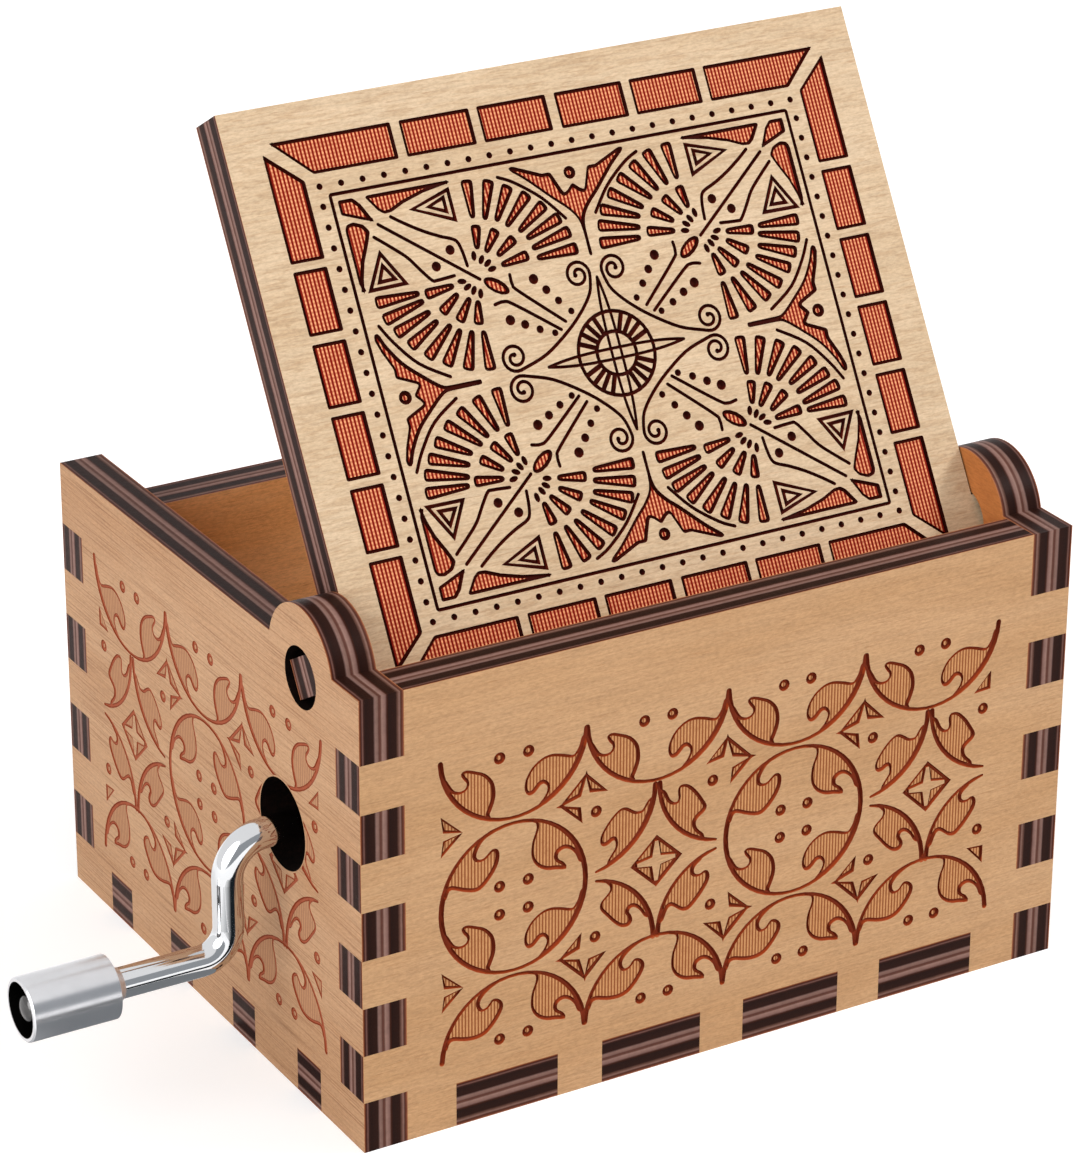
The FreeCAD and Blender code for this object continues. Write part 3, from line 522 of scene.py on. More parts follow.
class Scroll:
    """Draws the wall ornament's parts at a place, a size and either hand."""

    def __init__(self, drawing, centre_height, scale, hand):
        self.drawing = drawing
        self.height = centre_height
        self.scale = scale
        self.hand = hand

    def put(self, points, x, z):
        """Points about (x, z) of the motif, on the wall."""
        wide = self.scale * self.hand
        shift = (x * wide, self.height + z * self.scale)
        return move(points, (wide, self.scale), shift)

    def line(self, points, x, z, width):
        self.drawing.stroke(self.put(points, x, z), width)

    def fill(self, points, x, z, width=OUTLINE):
        self.drawing.fill(self.put(points, x, z), width)

    def circle_line(self, x, z, start, end, tapered=False):
        steps = max(6, round(abs(end - start) / 7.5))
        points = arc((0, 0), CIRCLE, start, end, steps)
        widths = [ARC_LINE * (0.6 + 0.4 * abs(p.x) / CIRCLE) for p in points]
        if tapered:
            widths[0], widths[1] = 0.22, 0.34
        self.line(points, x, z, widths)

    def onto_line(self, end, before, drop):
        """Where a leaf's outline that ends short of the circle's line runs into it."""
        start = Vector(end) - Vector((0, drop))
        gap = CIRCLE - start.length
        if gap < 0.1:
            return []
        way = Vector(end) - Vector(before)
        side = math.copysign(1, start.x * way.y - start.y * way.x)
        turn = Matrix.Rotation(side * gap / CIRCLE, 2)
        return [Vector((0, drop)) + turn @ start.normalized() * CIRCLE]

    def leaf(self, outline, x, z, drop=0.0):
        """A leaf that grows from the circle's line about (x, z); the line may lie lower."""
        first = self.onto_line(outline[0], outline[1], drop)
        last = self.onto_line(outline[-1], outline[-2], drop)
        free = smooth(first + list(outline) + last, spans=3)
        start, end = (math.degrees(math.atan2(p.y - drop, p.x)) for p in (free[-1], free[0]))
        turn = (end - start + 180) % 360 - 180
        along = arc((0, drop), CIRCLE, start, start + turn, 8)
        self.drawing.area("fill", self.put(free + along[1:-1], x, z))
        ends = [OUTLINE * 0.6, OUTLINE * 0.8]
        self.line(free, x, z, ends + [OUTLINE] * (len(free) - 4) + ends[::-1])

    def dots(self, x, z):
        for side in (-1.25, 1.25):
            self.ring_dot(x + side, z)

    def ring_dot(self, x, z):
        self.drawing.dimple(self.put([(0, 0)], x, z)[0], RING_DOT * self.scale)

    def circle_column(self, x):
        self.circle_line(x, 0, 0, 180)
        self.circle_line(x, 0, 180, 360)
        for outline in LEAVES.values():
            self.leaf(outline, x, 0)
        for z in (-1.2, 1.2):
            self.dots(x, z)

    def diamond_column(self, x):
        for side, z, start, end, outline in QUARTERS:
            self.circle_line(x + side, z + DIAMOND_DROP, start, end, tapered=True)
            self.leaf(outline, x + side, z, DIAMOND_DROP)
        self.fill(DIAMOND, x, DIAMOND_DROP)
        star = self.put(STAR, x, DIAMOND_DROP)
        self.drawing.area("land", star)
        self.drawing.stroke(star, OUTLINE * 0.6, closed=True)

    def edge_arcs(self, x):
        """The arc that hangs from the top edge and the one that stands on the bottom edge."""
        self.circle_line(x, ROW_REACH, 183, 357)
        self.circle_line(x, -ROW_REACH, 3, 177)
        for outline, z in (
            (LEAVES["lower_left"], ROW_REACH),
            (LEAVES["lower_right"], ROW_REACH),
            (STANDING_LEFT, -ROW_REACH),
            (LEAVES["upper_right"], -ROW_REACH),
        ):
            self.leaf(outline, x, z)
        for z in (-12.0, 12.0):
            self.dots(x, z)

    def cusp(self, x, side):
        """The broken diamonds between two columns; the gap is on the diamond column's side."""
        for up in (1, -1):
            self.fill(move(BROKEN_DIAMOND, (side, up)), x, CUSP_ROW * up)
            self.ring_dot(x + (0.9 if side > 0 else -1.3), (CUSP_ROW - 1.2) * up)

    def half_cusp(self, x):
        """The half of a broken diamond at the ornament's left end, beside a circle."""
        for up in (1, -1):
            for points in (
                ((0.05, 1.75), (1.95, 0), (0.25, 0.35)),
                ((0.05, -1.7), (1.95, 0), (0.25, -0.3)),
            ):
                self.fill(move(points, (1, up)), x, CUSP_ROW * up, OUTLINE * 0.8)

    def end_cusp(self, x, side):
        """The triangle and the dot at the ornament's end, beside a diamond column."""
        for up in (1, -1):
            points = move(((0.55, 2.0), (2.15, 0.3), (0.55, 0.4)), (side, up))
            self.fill(points, x, CUSP_ROW * up, OUTLINE * 0.8)
            self.ring_dot(x + 1.2 * side, (CUSP_ROW - 1.2) * up)

    def columns(self, places, first, second):
        """Two kinds of column by turns, between their edge arcs."""
        for i, x in enumerate(places):
            self.edge_arcs(x)
            if i % 2:
                second(x)
            else:
                first(x)


def long_wall_drawing():
    """Four columns, circle and diamond by turns."""
    scroll = Scroll(Drawing(), 18.55, 1.0, 1)
    scroll.columns((-18.95, -6.3, 6.3, 18.95), scroll.circle_column, scroll.diamond_column)
    for x, side in ((-COLUMN, 1), (0, -1), (COLUMN, 1)):
        scroll.cusp(x, side)
    scroll.half_cusp(-2 * COLUMN)
    scroll.end_cusp(2 * COLUMN, -1)
    return scroll.drawing


def short_wall_drawing():
    """Three columns, a circle between two diamonds; drawn the other hand and a little larger."""
    scroll = Scroll(Drawing(), 19.0, 1.037, -1)
    scroll.columns((-COLUMN, 0, COLUMN), scroll.diamond_column, scroll.circle_column)
    for side in (-1, 1):
        scroll.cusp(COLUMN / 2 * side, side)
    for side in (-1, 1):
        scroll.end_cusp(1.5 * COLUMN * side, -side)
    return scroll.drawing


# ---------------------------------------------------------------- lid ornament

LID_MIDDLE = 18.6


class Quarters:
    """Draws in the lid's upper left quarter and its three mirror images."""

    def __init__(self, drawing, images=((1, 1), (-1, 1), (1, -1), (-1, -1))):
        self.drawing = drawing
        self.images = images

    def each(self, points):
        for x, up in self.images:
            shift = (0, LID_MIDDLE * (1 - up))
            yield move(points, (x, up), shift)

    def fill(self, points, width=LID_OUTLINE, corner=0.17):
        for image in self.each(rounded(points, corner)):
            self.drawing.fill(image, width)

    def box(self, left, right, low, high):
        self.fill([(left, low), (right, low), (right, high), (left, high)])

    def line(self, points):
        for image in self.each(points):
            self.drawing.stroke(image, LID_LINE)

    def curve(self, *points):
        self.line(smooth(points))

    def dot(self, centre, radius):
        for image in self.each([centre]):
            self.drawing.dot(image[0], radius)

    def dimple(self, centre, radius):
        for image in self.each([centre]):
            self.drawing.dimple(image[0], radius)

    def petal(self, start, end, wide):
        """A wedge, from a little before its start to a little past its end."""
        along = (end - start).normalized()
        start, end = start - along * 0.12, end + along * 0.15
        across = Vector((-along.y, along.x))
        near, far = across * 0.25, across * wide
        self.fill([start - near, end - far, end + far, start + near], corner=0.4)

    def ellipse(self, centre, long, short, angle):
        turn = Matrix.Rotation(math.radians(angle), 2)
        points = []
        for p in circle((0, 0), 1, 12):
            points.append(Vector(centre) + turn @ Vector((p.x * long, p.y * short)))
        return points


def lid_border(drawing, quarters):
    quarters.fill([(-24.4, 39.45), (-14.05, 39.45), (-14.05, 36.56), (-21.35, 36.56)])
    for left, right in ((-13.3, -7.2), (-6.5, -0.4)):
        quarters.box(left, right, 36.56, 39.45)
    quarters.fill([(-25.12, 38.68), (-22.23, 36.16), (-22.23, 30.13), (-25.12, 30.13)])
    for low, high in ((24.52, 29.52), (18.9, 23.88)):
        quarters.box(-25.12, -22.23, low, high)
    bead, level, upright = 0.26, 1.84, 1.62
    for k in range(12):
        quarters.dot((-level * (k + 0.5), 35.55), bead)
    for k in range(10):
        quarters.dot((-21.28, LID_MIDDLE + upright * (k + 0.5)), bead)
    ring = []
    reach, high, round_by = 20.5, 34.78 - LID_MIDDLE, 0.15
    for x, up, start in ((1, 1, 0), (-1, 1, 90), (-1, -1, 180), (1, -1, 270)):
        middle = (x * (reach - round_by), LID_MIDDLE + up * (high - round_by))
        ring += arc(middle, round_by, start, start + 90, 4)
    drawing.stroke(ring, LID_LINE, closed=True)


def lid_corner(quarters):
    """Fills, triangles and lines between the frame's corner and the fans."""
    quarters.fill([
        (-20.0, 34.25), (-18.75, 34.25), (-18.2, 33.7), (-17.4, 32.15), (-18.3, 32.45), (-20.0, 33.1),
    ])
    quarters.fill([
        (-17.7, 34.1), (-17.5, 34.25), (-10.6, 34.25), (-10.35, 34.1), (-10.6, 34.0),
        (-12.8, 33.65), (-14.6, 33.15), (-15.8, 32.65), (-16.45, 32.6), (-16.9, 32.95),
    ])
    quarters.fill([
        (-20.0, 31.9), (-19.8, 32.3), (-19.2, 32.43), (-18.4, 32.1), (-18.0, 31.5),
        (-18.4, 30.6), (-19.1, 29.25), (-19.5, 28.05), (-19.75, 26.85), (-20.0, 27.7),
    ])
    for triangle in (
        [(-14.05, 32.55), (-10.7, 33.55), (-10.7, 31.15)],
        [(-12.65, 32.5), (-11.25, 33.0), (-11.25, 31.9)],
        [(-19.2, 27.05), (-17.65, 29.7), (-16.15, 27.1)],
        [(-18.3, 27.55), (-17.7, 28.75), (-16.95, 27.6)],
    ):
        for image in quarters.each(triangle):
            quarters.drawing.stroke(image, LID_LINE * 1.1, closed=True)
    quarters.curve(
        (-16.0, 32.3), (-15.0, 31.6), (-13.7, 30.8), (-12.4, 30.15), (-11.4, 29.75), (-11.0, 29.4),
        (-10.8, 28.6), (-10.7, 27.5),
    )
    quarters.line([(-17.2, 31.9), (-9.95, 26.3)])
    quarters.curve(
        (-17.8, 31.0), (-16.6, 30.0), (-15.5, 29.0), (-14.7, 27.9), (-13.95, 26.95), (-13.5, 26.85),
        (-12.0, 26.95),
    )
    quarters.dot((-11.8, 28.95), 0.4)
    quarters.dot((-13.3, 27.9), 0.4)


def lid_fans(quarters):
    upper = (
        (-9.2, 31.1, -8.95, 33.9), (-8.2, 30.8, -7.1, 33.6),
        (-7.25, 30.5, -5.6, 32.9), (-6.5, 29.95, -4.15, 32.05),
        (-5.55, 29.35, -2.95, 31.0), (-5.05, 28.7, -1.9, 29.8),
        (-4.8, 27.85, -1.35, 28.6), (-4.6, 27.05, -1.1, 27.2),
    )
    lower = (
        (-15.35, 26.15, -18.95, 26.05), (-15.15, 25.5, -18.65, 24.65),
        (-14.85, 24.6, -18.0, 23.5), (-14.4, 23.8, -17.1, 22.35),
        (-13.4, 23.3, -15.9, 21.25), (-12.7, 22.8, -14.5, 20.4),
        (-11.75, 22.5, -12.85, 19.75), (-10.8, 22.3, -11.0, 19.4),
    )
    inner = (
        (-9.5, 28.7, -9.15, 30.35), (-8.8, 28.3, -7.6, 29.75),
        (-7.9, 27.85, -6.25, 28.85), (-7.75, 27.05, -5.45, 27.4),
        (-12.35, 26.2, -14.7, 25.95), (-12.15, 25.5, -13.75, 24.4),
        (-11.25, 25.0, -12.5, 23.5), (-10.6, 24.65, -11.0, 23.0),
    )
    for petals, wide in ((upper + lower, 0.55), (inner, 0.49)):
        for a, b, c, d in petals:
            quarters.petal(Vector((a, b)), Vector((c, d)), wide)
    for centre, angle in (
        ((-9.95, 28.15), 80), ((-9.4, 27.75), 55), ((-8.95, 27.4), 35), ((-8.7, 26.9), 10),
        ((-11.5, 26.4), 170), ((-11.15, 25.9), 205), ((-10.7, 25.55), 235), ((-10.2, 25.2), 255),
    ):
        for image in quarters.each(quarters.ellipse(centre, 0.4, 0.23, angle)):
            quarters.drawing.pit(image)
    quarters.fill(quarters.ellipse((-8.7, 25.55), 1.2, 0.55, -35), LID_LINE)
    quarters.curve((-6.25, 33.75), (-4.95, 33.1), (-2.95, 31.55), (-1.35, 29.65))
    quarters.curve((-19.3, 24.3), (-18.4, 22.8), (-16.8, 20.9), (-14.5, 19.45))
    quarters.curve((-7.35, 26.2), (-7.35, 25.4), (-6.9, 24.75), (-3.65, 21.8))
    quarters.curve((-9.25, 24.15), (-8.45, 24.25), (-7.6, 23.85), (-4.2, 21.25))
    for centre, radius in (
        ((-5.45, 25.5), 0.42), ((-4.6, 24.5), 0.36), ((-3.8, 23.5), 0.32), ((-2.95, 22.5), 0.28),
        ((-8.3, 22.75), 0.42), ((-7.15, 22.2), 0.36), ((-6.0, 21.6), 0.32), ((-4.8, 21.1), 0.28),
    ):
        quarters.dot(centre, radius)


def lid_cusps(drawing):
    """The pointed fills between two quarters, at the middle of each side of the frame."""
    upright = Quarters(drawing, ((1, 1), (1, -1)))
    half = [
        (-5.2, 34.25), (-4.85, 34.4), (-3.85, 34.0), (-2.4, 33.4), (-1.65, 33.4),
        (-1.2, 32.3), (-0.9, 31.6), (-0.55, 31.8), (0, 32.3),
    ]
    outer = [(0, 26.4)] + smooth([
        (-0.15, 26.5), (-0.2, 29.0), (-0.85, 30.2), (-2.1, 31.35), (-3.85, 33.05), (-4.9, 33.9),
    ])
    mirrored = [(-x, b) for x, b in reversed(half[:-1])] + [(-x, b) for x, b in reversed(outer[1:])]
    upright.fill(half + mirrored + outer, corner=0.22)
    upright.dimple((0, 33.1), 0.52)
    level = Quarters(drawing, ((1, 1), (-1, 1)))
    half = [(-12.0, 18.8)] + smooth([
        (-14.7, 18.82), (-15.4, 18.98), (-16.75, 20.05), (-18.05, 21.25), (-19.0, 22.65), (-19.4, 23.55),
    ]) + [
        (-19.6, 23.8), (-19.9, 23.7), (-19.95, 23.25), (-19.65, 22.3), (-19.0, 20.85), (-19.05, 20.15),
        (-17.25, 19.35), (-17.9, 18.6),
    ]
    mirrored = [(x, 2 * LID_MIDDLE - b) for x, b in reversed(half[:-1])]
    level.fill(half + mirrored, corner=0.2)
    level.dimple((-18.65, LID_MIDDLE), 0.55)


def spiral(centre, outer, start, hand):
    """From the outside inwards, to a fifth of the outer radius."""
    turns, steps = 1.55, 34
    points = []
    for i in range(steps + 1):
        share = i / steps
        angle = math.radians(start) + hand * 2 * math.pi * turns * share
        points.append(Vector(centre) + outer * (1 - 0.8 * share**1.5) * unit(angle))
    return points


def lid_scrolls(quarters):
    first = spiral((-1.6, 25.15), 1.06, -17, 1)
    link = [(-0.63, 24.6), (-1.0, 23.55), (-2.1, 22.3), (-3.7, 21.0), (-6.0, 19.6), (-8.1, 18.93)]
    second = spiral((-8.75, 19.87), 1.08, -75, -1)
    quarters.line(first[::-1] + smooth(link) + second)
    for end in (first[-1], second[-1]):
        quarters.dot(end, 0.2)


def lid_compass(drawing):
    centre = Vector((0, LID_MIDDLE))
    rim, hub = 3.33, 1.72
    for radius in (rim, hub):
        drawing.stroke(circle(centre, radius, 36), LID_LINE * 1.1, closed=True)
    for k in range(24):
        way = unit(math.radians(15 * k + 7.5))
        if min(abs(way.x), abs(way.y)) > 0.3:
            ray = [centre + way * (hub + 0.05), centre + way * (rim - 0.05)]
            drawing.stroke(ray, LID_LINE * 1.45)
    for across in (False, True):
        for side in (-1, 1):
            blade = []
            for i in range(21):
                share = i / 10 - 1
                point = Vector((share * 6.1, side * 0.42 * (1 - abs(share) ** 3)))
                blade.append(centre + (point if across else Vector((point.y, point.x))))
            drawing.stroke(blade, LID_LINE * 0.9)


def lid_drawing():
    drawing = Drawing()
    quarters = Quarters(drawing)
    lid_border(drawing, quarters)
    lid_corner(quarters)
    lid_fans(quarters)
    lid_cusps(drawing)
    lid_scrolls(quarters)
    lid_compass(drawing)
    return drawing


# ---------------------------------------------------------------- materials


def rgb(colour):
    """Linear colour from a hex one, such as D0A474."""
    parts = [int(colour[i:i + 2], 16) / 255 for i in (0, 2, 4)]
    linear = [p / 12.92 if p <= 0.04045 else ((p + 0.055) / 1.055) ** 2.4 for p in parts]
    return (*linear, 1.0)


class Nodes:
    """A node tree that is built by calls."""

    def __init__(self, tree):
        self.tree = tree
        tree.nodes.clear()

    def link(self, source, target):
        self.tree.links.new(source, target)

    def feed(self, socket, source):
        """A socket takes a number, a hex colour or another node's output."""
        if isinstance(source, bpy.types.NodeSocket):
            self.link(source, socket)
        else:
            socket.default_value = rgb(source) if isinstance(source, str) else source

    def node(self, kind, inputs=None, **settings):
        """A node with its settings, and with what its inputs take."""
        made = self.tree.nodes.new(kind)
        for name, setting in settings.items():
            setattr(made, name, setting)
        for key, source in (inputs or {}).items():
            self.feed(made.inputs[key], source)
        return made

    def math(self, operation, a, b=0.0, c=0.0, clamp=False):
        inputs = {0: a, 1: b, 2: c}
        return self.node("ShaderNodeMath", inputs, operation=operation, use_clamp=clamp).outputs[0]

    def seen_directly(self):
        """1 for rays from the camera, off metal and through glass."""
        rays = self.node("ShaderNodeLightPath").outputs
        total = rays["Is Camera Ray"]
        for name in ("Is Glossy Ray", "Is Transmission Ray"):
            total = self.math("ADD", total, rays[name], clamp=True)
        return total


class Shader(Nodes):
    """A material; its position is the point on the object, in millimetres."""

    def __init__(self, name):
        self.material = bpy.data.materials.new(name)
        self.material.use_nodes = True
        super().__init__(self.material.node_tree)
        self.bsdf = self.node("ShaderNodeBsdfPrincipled")
        self.surface = self.node("ShaderNodeOutputMaterial").inputs["Surface"]
        self.link(self.bsdf.outputs["BSDF"], self.surface)
        self.coordinates = self.node("ShaderNodeTexCoord").outputs
        self.position = self.mapped(self.coordinates["Object"], scale=(1 / MM, 1 / MM, 1 / MM))

    def mapped(self, source, scale=(1, 1, 1), rotation=(0, 0, 0), location=(0, 0, 0)):
        inputs = {"Vector": source, "Scale": scale, "Rotation": rotation, "Location": location}
        return self.node("ShaderNodeMapping", inputs).outputs["Vector"]

    def noise(self, vector, scale=1.0, detail=3.0, roughness=0.55, distortion=0.0):
        inputs = {"Vector": vector, "Scale": scale, "Detail": detail}
        inputs |= {"Roughness": roughness, "Distortion": distortion}
        return self.node("ShaderNodeTexNoise", inputs).outputs["Fac"]

    def dot(self, vector, way):
        inputs = {0: vector, 1: tuple(way)}
        return self.node("ShaderNodeVectorMath", inputs, operation="DOT_PRODUCT").outputs["Value"]

    def stretch(self, source, old, new=(0.0, 1.0)):
        """One range of numbers onto another, held at its ends."""
        inputs = {"Value": source, "From Min": old[0], "From Max": old[1]}
        inputs |= {"To Min": new[0], "To Max": new[1]}
        return self.node("ShaderNodeMapRange", inputs).outputs["Result"]

    def ramp(self, source, *stops):
        made = self.node("ShaderNodeValToRGB", {"Fac": source})
        elements = made.color_ramp.elements
        while len(elements) < len(stops):
            elements.new(1.0)
        for element, (at, colour) in zip(elements, stops):
            element.position = at
            element.color = rgb(colour)
        return made.outputs["Color"]

    def mask(self, source, black, white):
        return self.ramp(source, (black, "000000"), (white, "FFFFFF"))

    def mix(self, factor, a, b, blend="MIX"):
        inputs = {"Factor": factor, 6: a, 7: b}
        return self.node("ShaderNodeMix", inputs, data_type="RGBA", blend_type=blend).outputs[2]

    def bump(self, height, distance, strength):
        inputs = {"Strength": strength, "Distance": distance * MM, "Height": height}
        self.link(self.node("ShaderNodeBump", inputs).outputs["Normal"], self.bsdf.inputs["Normal"])

    def set(self, **inputs):
        names = {"colour": "Base Color", "specular": "Specular IOR Level", "glow": "Emission Strength"}
        for name, source in inputs.items():
            self.feed(self.bsdf.inputs[names.get(name, name.capitalize())], source)
        return self.material


def wood(name, pale, dark, fleck, turn=(0, 0, 0), seed=0.0, ribs=0.0, ripple=0.0):
    """Sanded birch veneer. turn brings the grain along X and the face across Z; ribs are dark
    parallel grain lines, ripple is the wavy figure of a rotary-cut veneer."""
    shader = Shader(name)
    lying = shader.mapped(shader.position, rotation=turn, location=(seed, seed, seed))

    def grain(along, across, **settings):
        return shader.noise(shader.mapped(lying, scale=(along, across, across)), **settings)

    broad = grain(0.03, 0.15, distortion=0.4)
    fibre = grain(0.3, 4.5, detail=5.0, roughness=0.75)
    speck = grain(2.2, 6.0, roughness=0.7)
    vessel = grain(0.5, 9.0, detail=2.0)
    lines = grain(0.09, 8.0, detail=2.0, distortion=0.15)
    waves = grain(0.35, 2.6, detail=2.0, distortion=0.8)
    base = shader.mix(shader.mask(broad, 0.35, 0.65), dark, pale)
    for share, figure, shaded, shade, plain in (
        (0.38, fibre, 0.32, "C4C4C4", 0.6),
        (0.35, speck, 0.35, "BEB4AC", 0.6),
        (ribs, lines, 0.34, "A8866C", 0.5),
        (ripple, waves, 0.38, "CDB79C", 0.52),
    ):
        tint = shader.ramp(figure, (shaded, shade), (plain, "FFFFFF"))
        base = shader.mix(share, base, tint, "MULTIPLY")
    pores = shader.mask(vessel, 0.6, 0.72)
    base = shader.mix(shader.math("MULTIPLY", pores, 0.3), base, fleck)
    height = shader.math("MULTIPLY", fibre, 0.6)
    for layer, share in ((pores, -0.5), (waves, 0.06 + ripple), (lines, ribs)):
        height = shader.math("MULTIPLY_ADD", layer, share, height)
    shader.bump(height, 0.05, 0.5)
    roughness = shader.math("MULTIPLY_ADD", fibre, 0.2, 0.52)
    return shader.set(colour=base, roughness=roughness, specular=0.2)


PLY_STRIPES = (
    (0.00, "AC7048"), (0.02, "66301C"), (0.05, "341610"), (0.08, "6E4C44"), (0.11, "301812"),
    (0.15, "22100B"), (0.32, "2A140E"), (0.36, "80625A"), (0.41, "785A50"), (0.44, "56342C"),
    (0.48, "5C3A30"), (0.51, "8E6E64"), (0.58, "7C5C54"), (0.62, "38190F"), (0.66, "22100B"),
    (0.82, "28130D"), (0.86, "5C3E34"), (0.90, "806056"), (0.93, "4A281C"), (0.97, "66362A"),
    (1.00, "AC7048"),
)


def cut_edge(name, origin, across, seed=0.0):
    """Laser-cut plywood edge: charred core veneers between paler glue lines."""
    shader = Shader(name)
    halved = shader.mapped(shader.position, scale=(0.5, 0.5, 0.5), location=(seed, 0, 0))
    wavy = shader.noise(halved, detail=2.0)
    depth = shader.dot(shader.position, -Vector(across) / PLY)
    depth = shader.math("ADD", depth, Vector(origin).dot(Vector(across)) / PLY)
    depth = shader.math("ADD", depth, shader.math("MULTIPLY_ADD", wavy, 0.016, -0.008))
    soot_and_painted_shade = shader.noise(shader.position, scale=2.2, detail=4.0, roughness=0.7)
    sooty = shader.ramp(soot_and_painted_shade, (0.35, "000000"), (0.8, "888888"))
    colour = shader.mix(sooty, shader.ramp(depth, *PLY_STRIPES), "1A0C0A")
    shader.bump(shader.noise(shader.position, scale=9.0), 0.03, 0.5)
    roughness = shader.math("MULTIPLY_ADD", soot_and_painted_shade, 0.25, 0.3)
    return shader.set(colour=colour, roughness=roughness, specular=0.05)


def burnt_groove(name, panel, rim, side, bottom, soot_and_painted_shade):
    """Scorched groove, darkest on its sloping sides; a painted shade darkens the sides that face down and
    to the left, away from the key lamp.
    """
    shader = Shader(name)
    patch = shader.noise(shader.position, scale=1.3, detail=4.0, roughness=0.7)
    depth = shader.math("SUBTRACT", panel.origin.dot(panel.n), shader.dot(shader.position, panel.n))
    depth = shader.math("MULTIPLY", depth, 1 / panel.line_depth)
    depth = shader.math("ADD", depth, shader.math("MULTIPLY_ADD", patch, 0.6, -0.3))
    tone = shader.ramp(depth, (0.0, rim), (0.3, side), (0.7, side), (1.0, bottom))
    # painted shade: sides whose normal faces down and left, away from the key lamp, take the shade colour
    painted_shade_side = shader.dot(shader.coordinates["Normal"], -(panel.u + panel.v))
    tone = shader.mix(shader.mask(painted_shade_side, 0.0, 0.7), tone, soot_and_painted_shade)
    shader.bump(shader.noise(shader.position, scale=7.0), 0.03, 0.5)
    return shader.set(colour=tone, roughness=0.6, specular=0.03)


def hatched_floor(name, panel, ridge, trough, pitch, share, beads=0.0, dirt=0.5):
    """Engraved area: the laser's parallel passes, with a ridge left between each pair; beads
    break the ridge up where the beam was pulsed."""
    shader = Shader(name)

    def passes(way):
        """0 at each pass across this way, and half midway between two."""
        return shader.math("PINGPONG", shader.math("DIVIDE", shader.dot(shader.position, way), pitch), 0.5)

    line = shader.mask(shader.math("MULTIPLY", passes(panel.u), 2.0), share - 0.15, share + 0.15)
    pulse = shader.math("MULTIPLY_ADD", passes(panel.v), -2.0 * beads, 1.0)
    patch = shader.noise(shader.position, scale=1.4, detail=5.0, roughness=0.75)
    uneven = shader.math("MULTIPLY", line, shader.math("MULTIPLY_ADD", patch, 1.4, 0.3), clamp=True)
    colour = shader.mix(shader.math("MULTIPLY", uneven, pulse), trough, ridge)
    char = shader.noise(shader.position, scale=3.2, detail=4.0, roughness=0.8)
    soot_and_painted_shade = shader.math("MULTIPLY", shader.mask(char, 0.5, 0.8), dirt)
    shader.bump(char, 0.05, 0.6)
    return shader.set(colour=shader.mix(soot_and_painted_shade, colour, trough), roughness=0.65, specular=0.05)


def bore_char_and_painted_shade(name):
    """Wall of a small laser-cut hole: charred, and darkened to near black as painted shade of the hole's
    inside.
    """
    shader = Shader(name)
    soot_and_painted_shade = shader.noise(shader.position, scale=2.5, detail=4.0, roughness=0.7)
    shader.bump(soot_and_painted_shade, 0.05, 0.6)
    # painted shade: colours near black, deeper than the char on the cut edges
    colour = shader.ramp(soot_and_painted_shade, (0.4, "050302"), (0.8, "1A0D09"))
    return shader.set(colour=colour, roughness=0.8, specular=0.05)


def metal(name, colour, rough, along="Z", turned=0.0, spots=0.0, stain="8A8A8A"):
    """Plated or bare metal, a little stained; turned is how much its fine lines, which lie
    across one axis, stand out."""
    shader = Shader(name)
    cloud = shader.noise(shader.position, scale=0.7, detail=4.0)
    stained = shader.math("MULTIPLY", shader.mask(cloud, 0.35, 0.75), spots)
    roughness = shader.math("MULTIPLY_ADD", cloud, 0.1, rough - 0.05)
    if turned:
        fine = tuple(22.0 if axis == along else 1.0 for axis in "XYZ")
        shader.bump(shader.noise(shader.mapped(shader.position, scale=fine)), 0.01, turned)
    return shader.set(colour=shader.mix(stained, colour, stain), metallic=1.0, roughness=roughness)


# ---------------------------------------------------------------- dressing the case

HINGE = Panel("hinge_wall", (0, -HALF_WIDTH, 0), (1, 0, 0), (0, 0, 1))
FRONT = Panel("front_wall", (0, HALF_WIDTH, 0), (-1, 0, 0), (0, 0, 1))
CRANK = Panel("crank_wall", (-HALF_LENGTH, 0, 0), (0, -1, 0), (0, 0, 1), SHALLOW)
END = Panel("end_wall", (HALF_LENGTH, 0, 0), (0, 1, 0), (0, 0, 1), SHALLOW)
LID_TURN = Matrix.Rotation(LID_ANGLE, 3, "X")
LID = Panel("lid", PIVOT + LID_TURN @ Vector((0, 0, PLY / 2)), (1, 0, 0), LID_TURN @ Vector((0, 1, 0)))


def case_materials(panel, turn, pale, dark, inside, burns, hatch, seed, **figure):
    node = panel.node
    return (
        wood(f"{node}_face", pale, dark, "9A6A3E", turn, seed, **figure),
        burnt_groove(f"{node}_groove", panel, *burns),
        hatched_floor(f"{node}_fill", panel, *hatch),
        # for the long walls and the lid, inside is a brighter copy of the wood: painted light on the
        # shaded inner faces
        wood(f"{node}_inside", *inside, "8A5528", turn, seed + 40),
        cut_edge(f"{node}_edge", panel.origin, panel.n, seed),
        bore_char_and_painted_shade(f"{node}_bore"),
    )


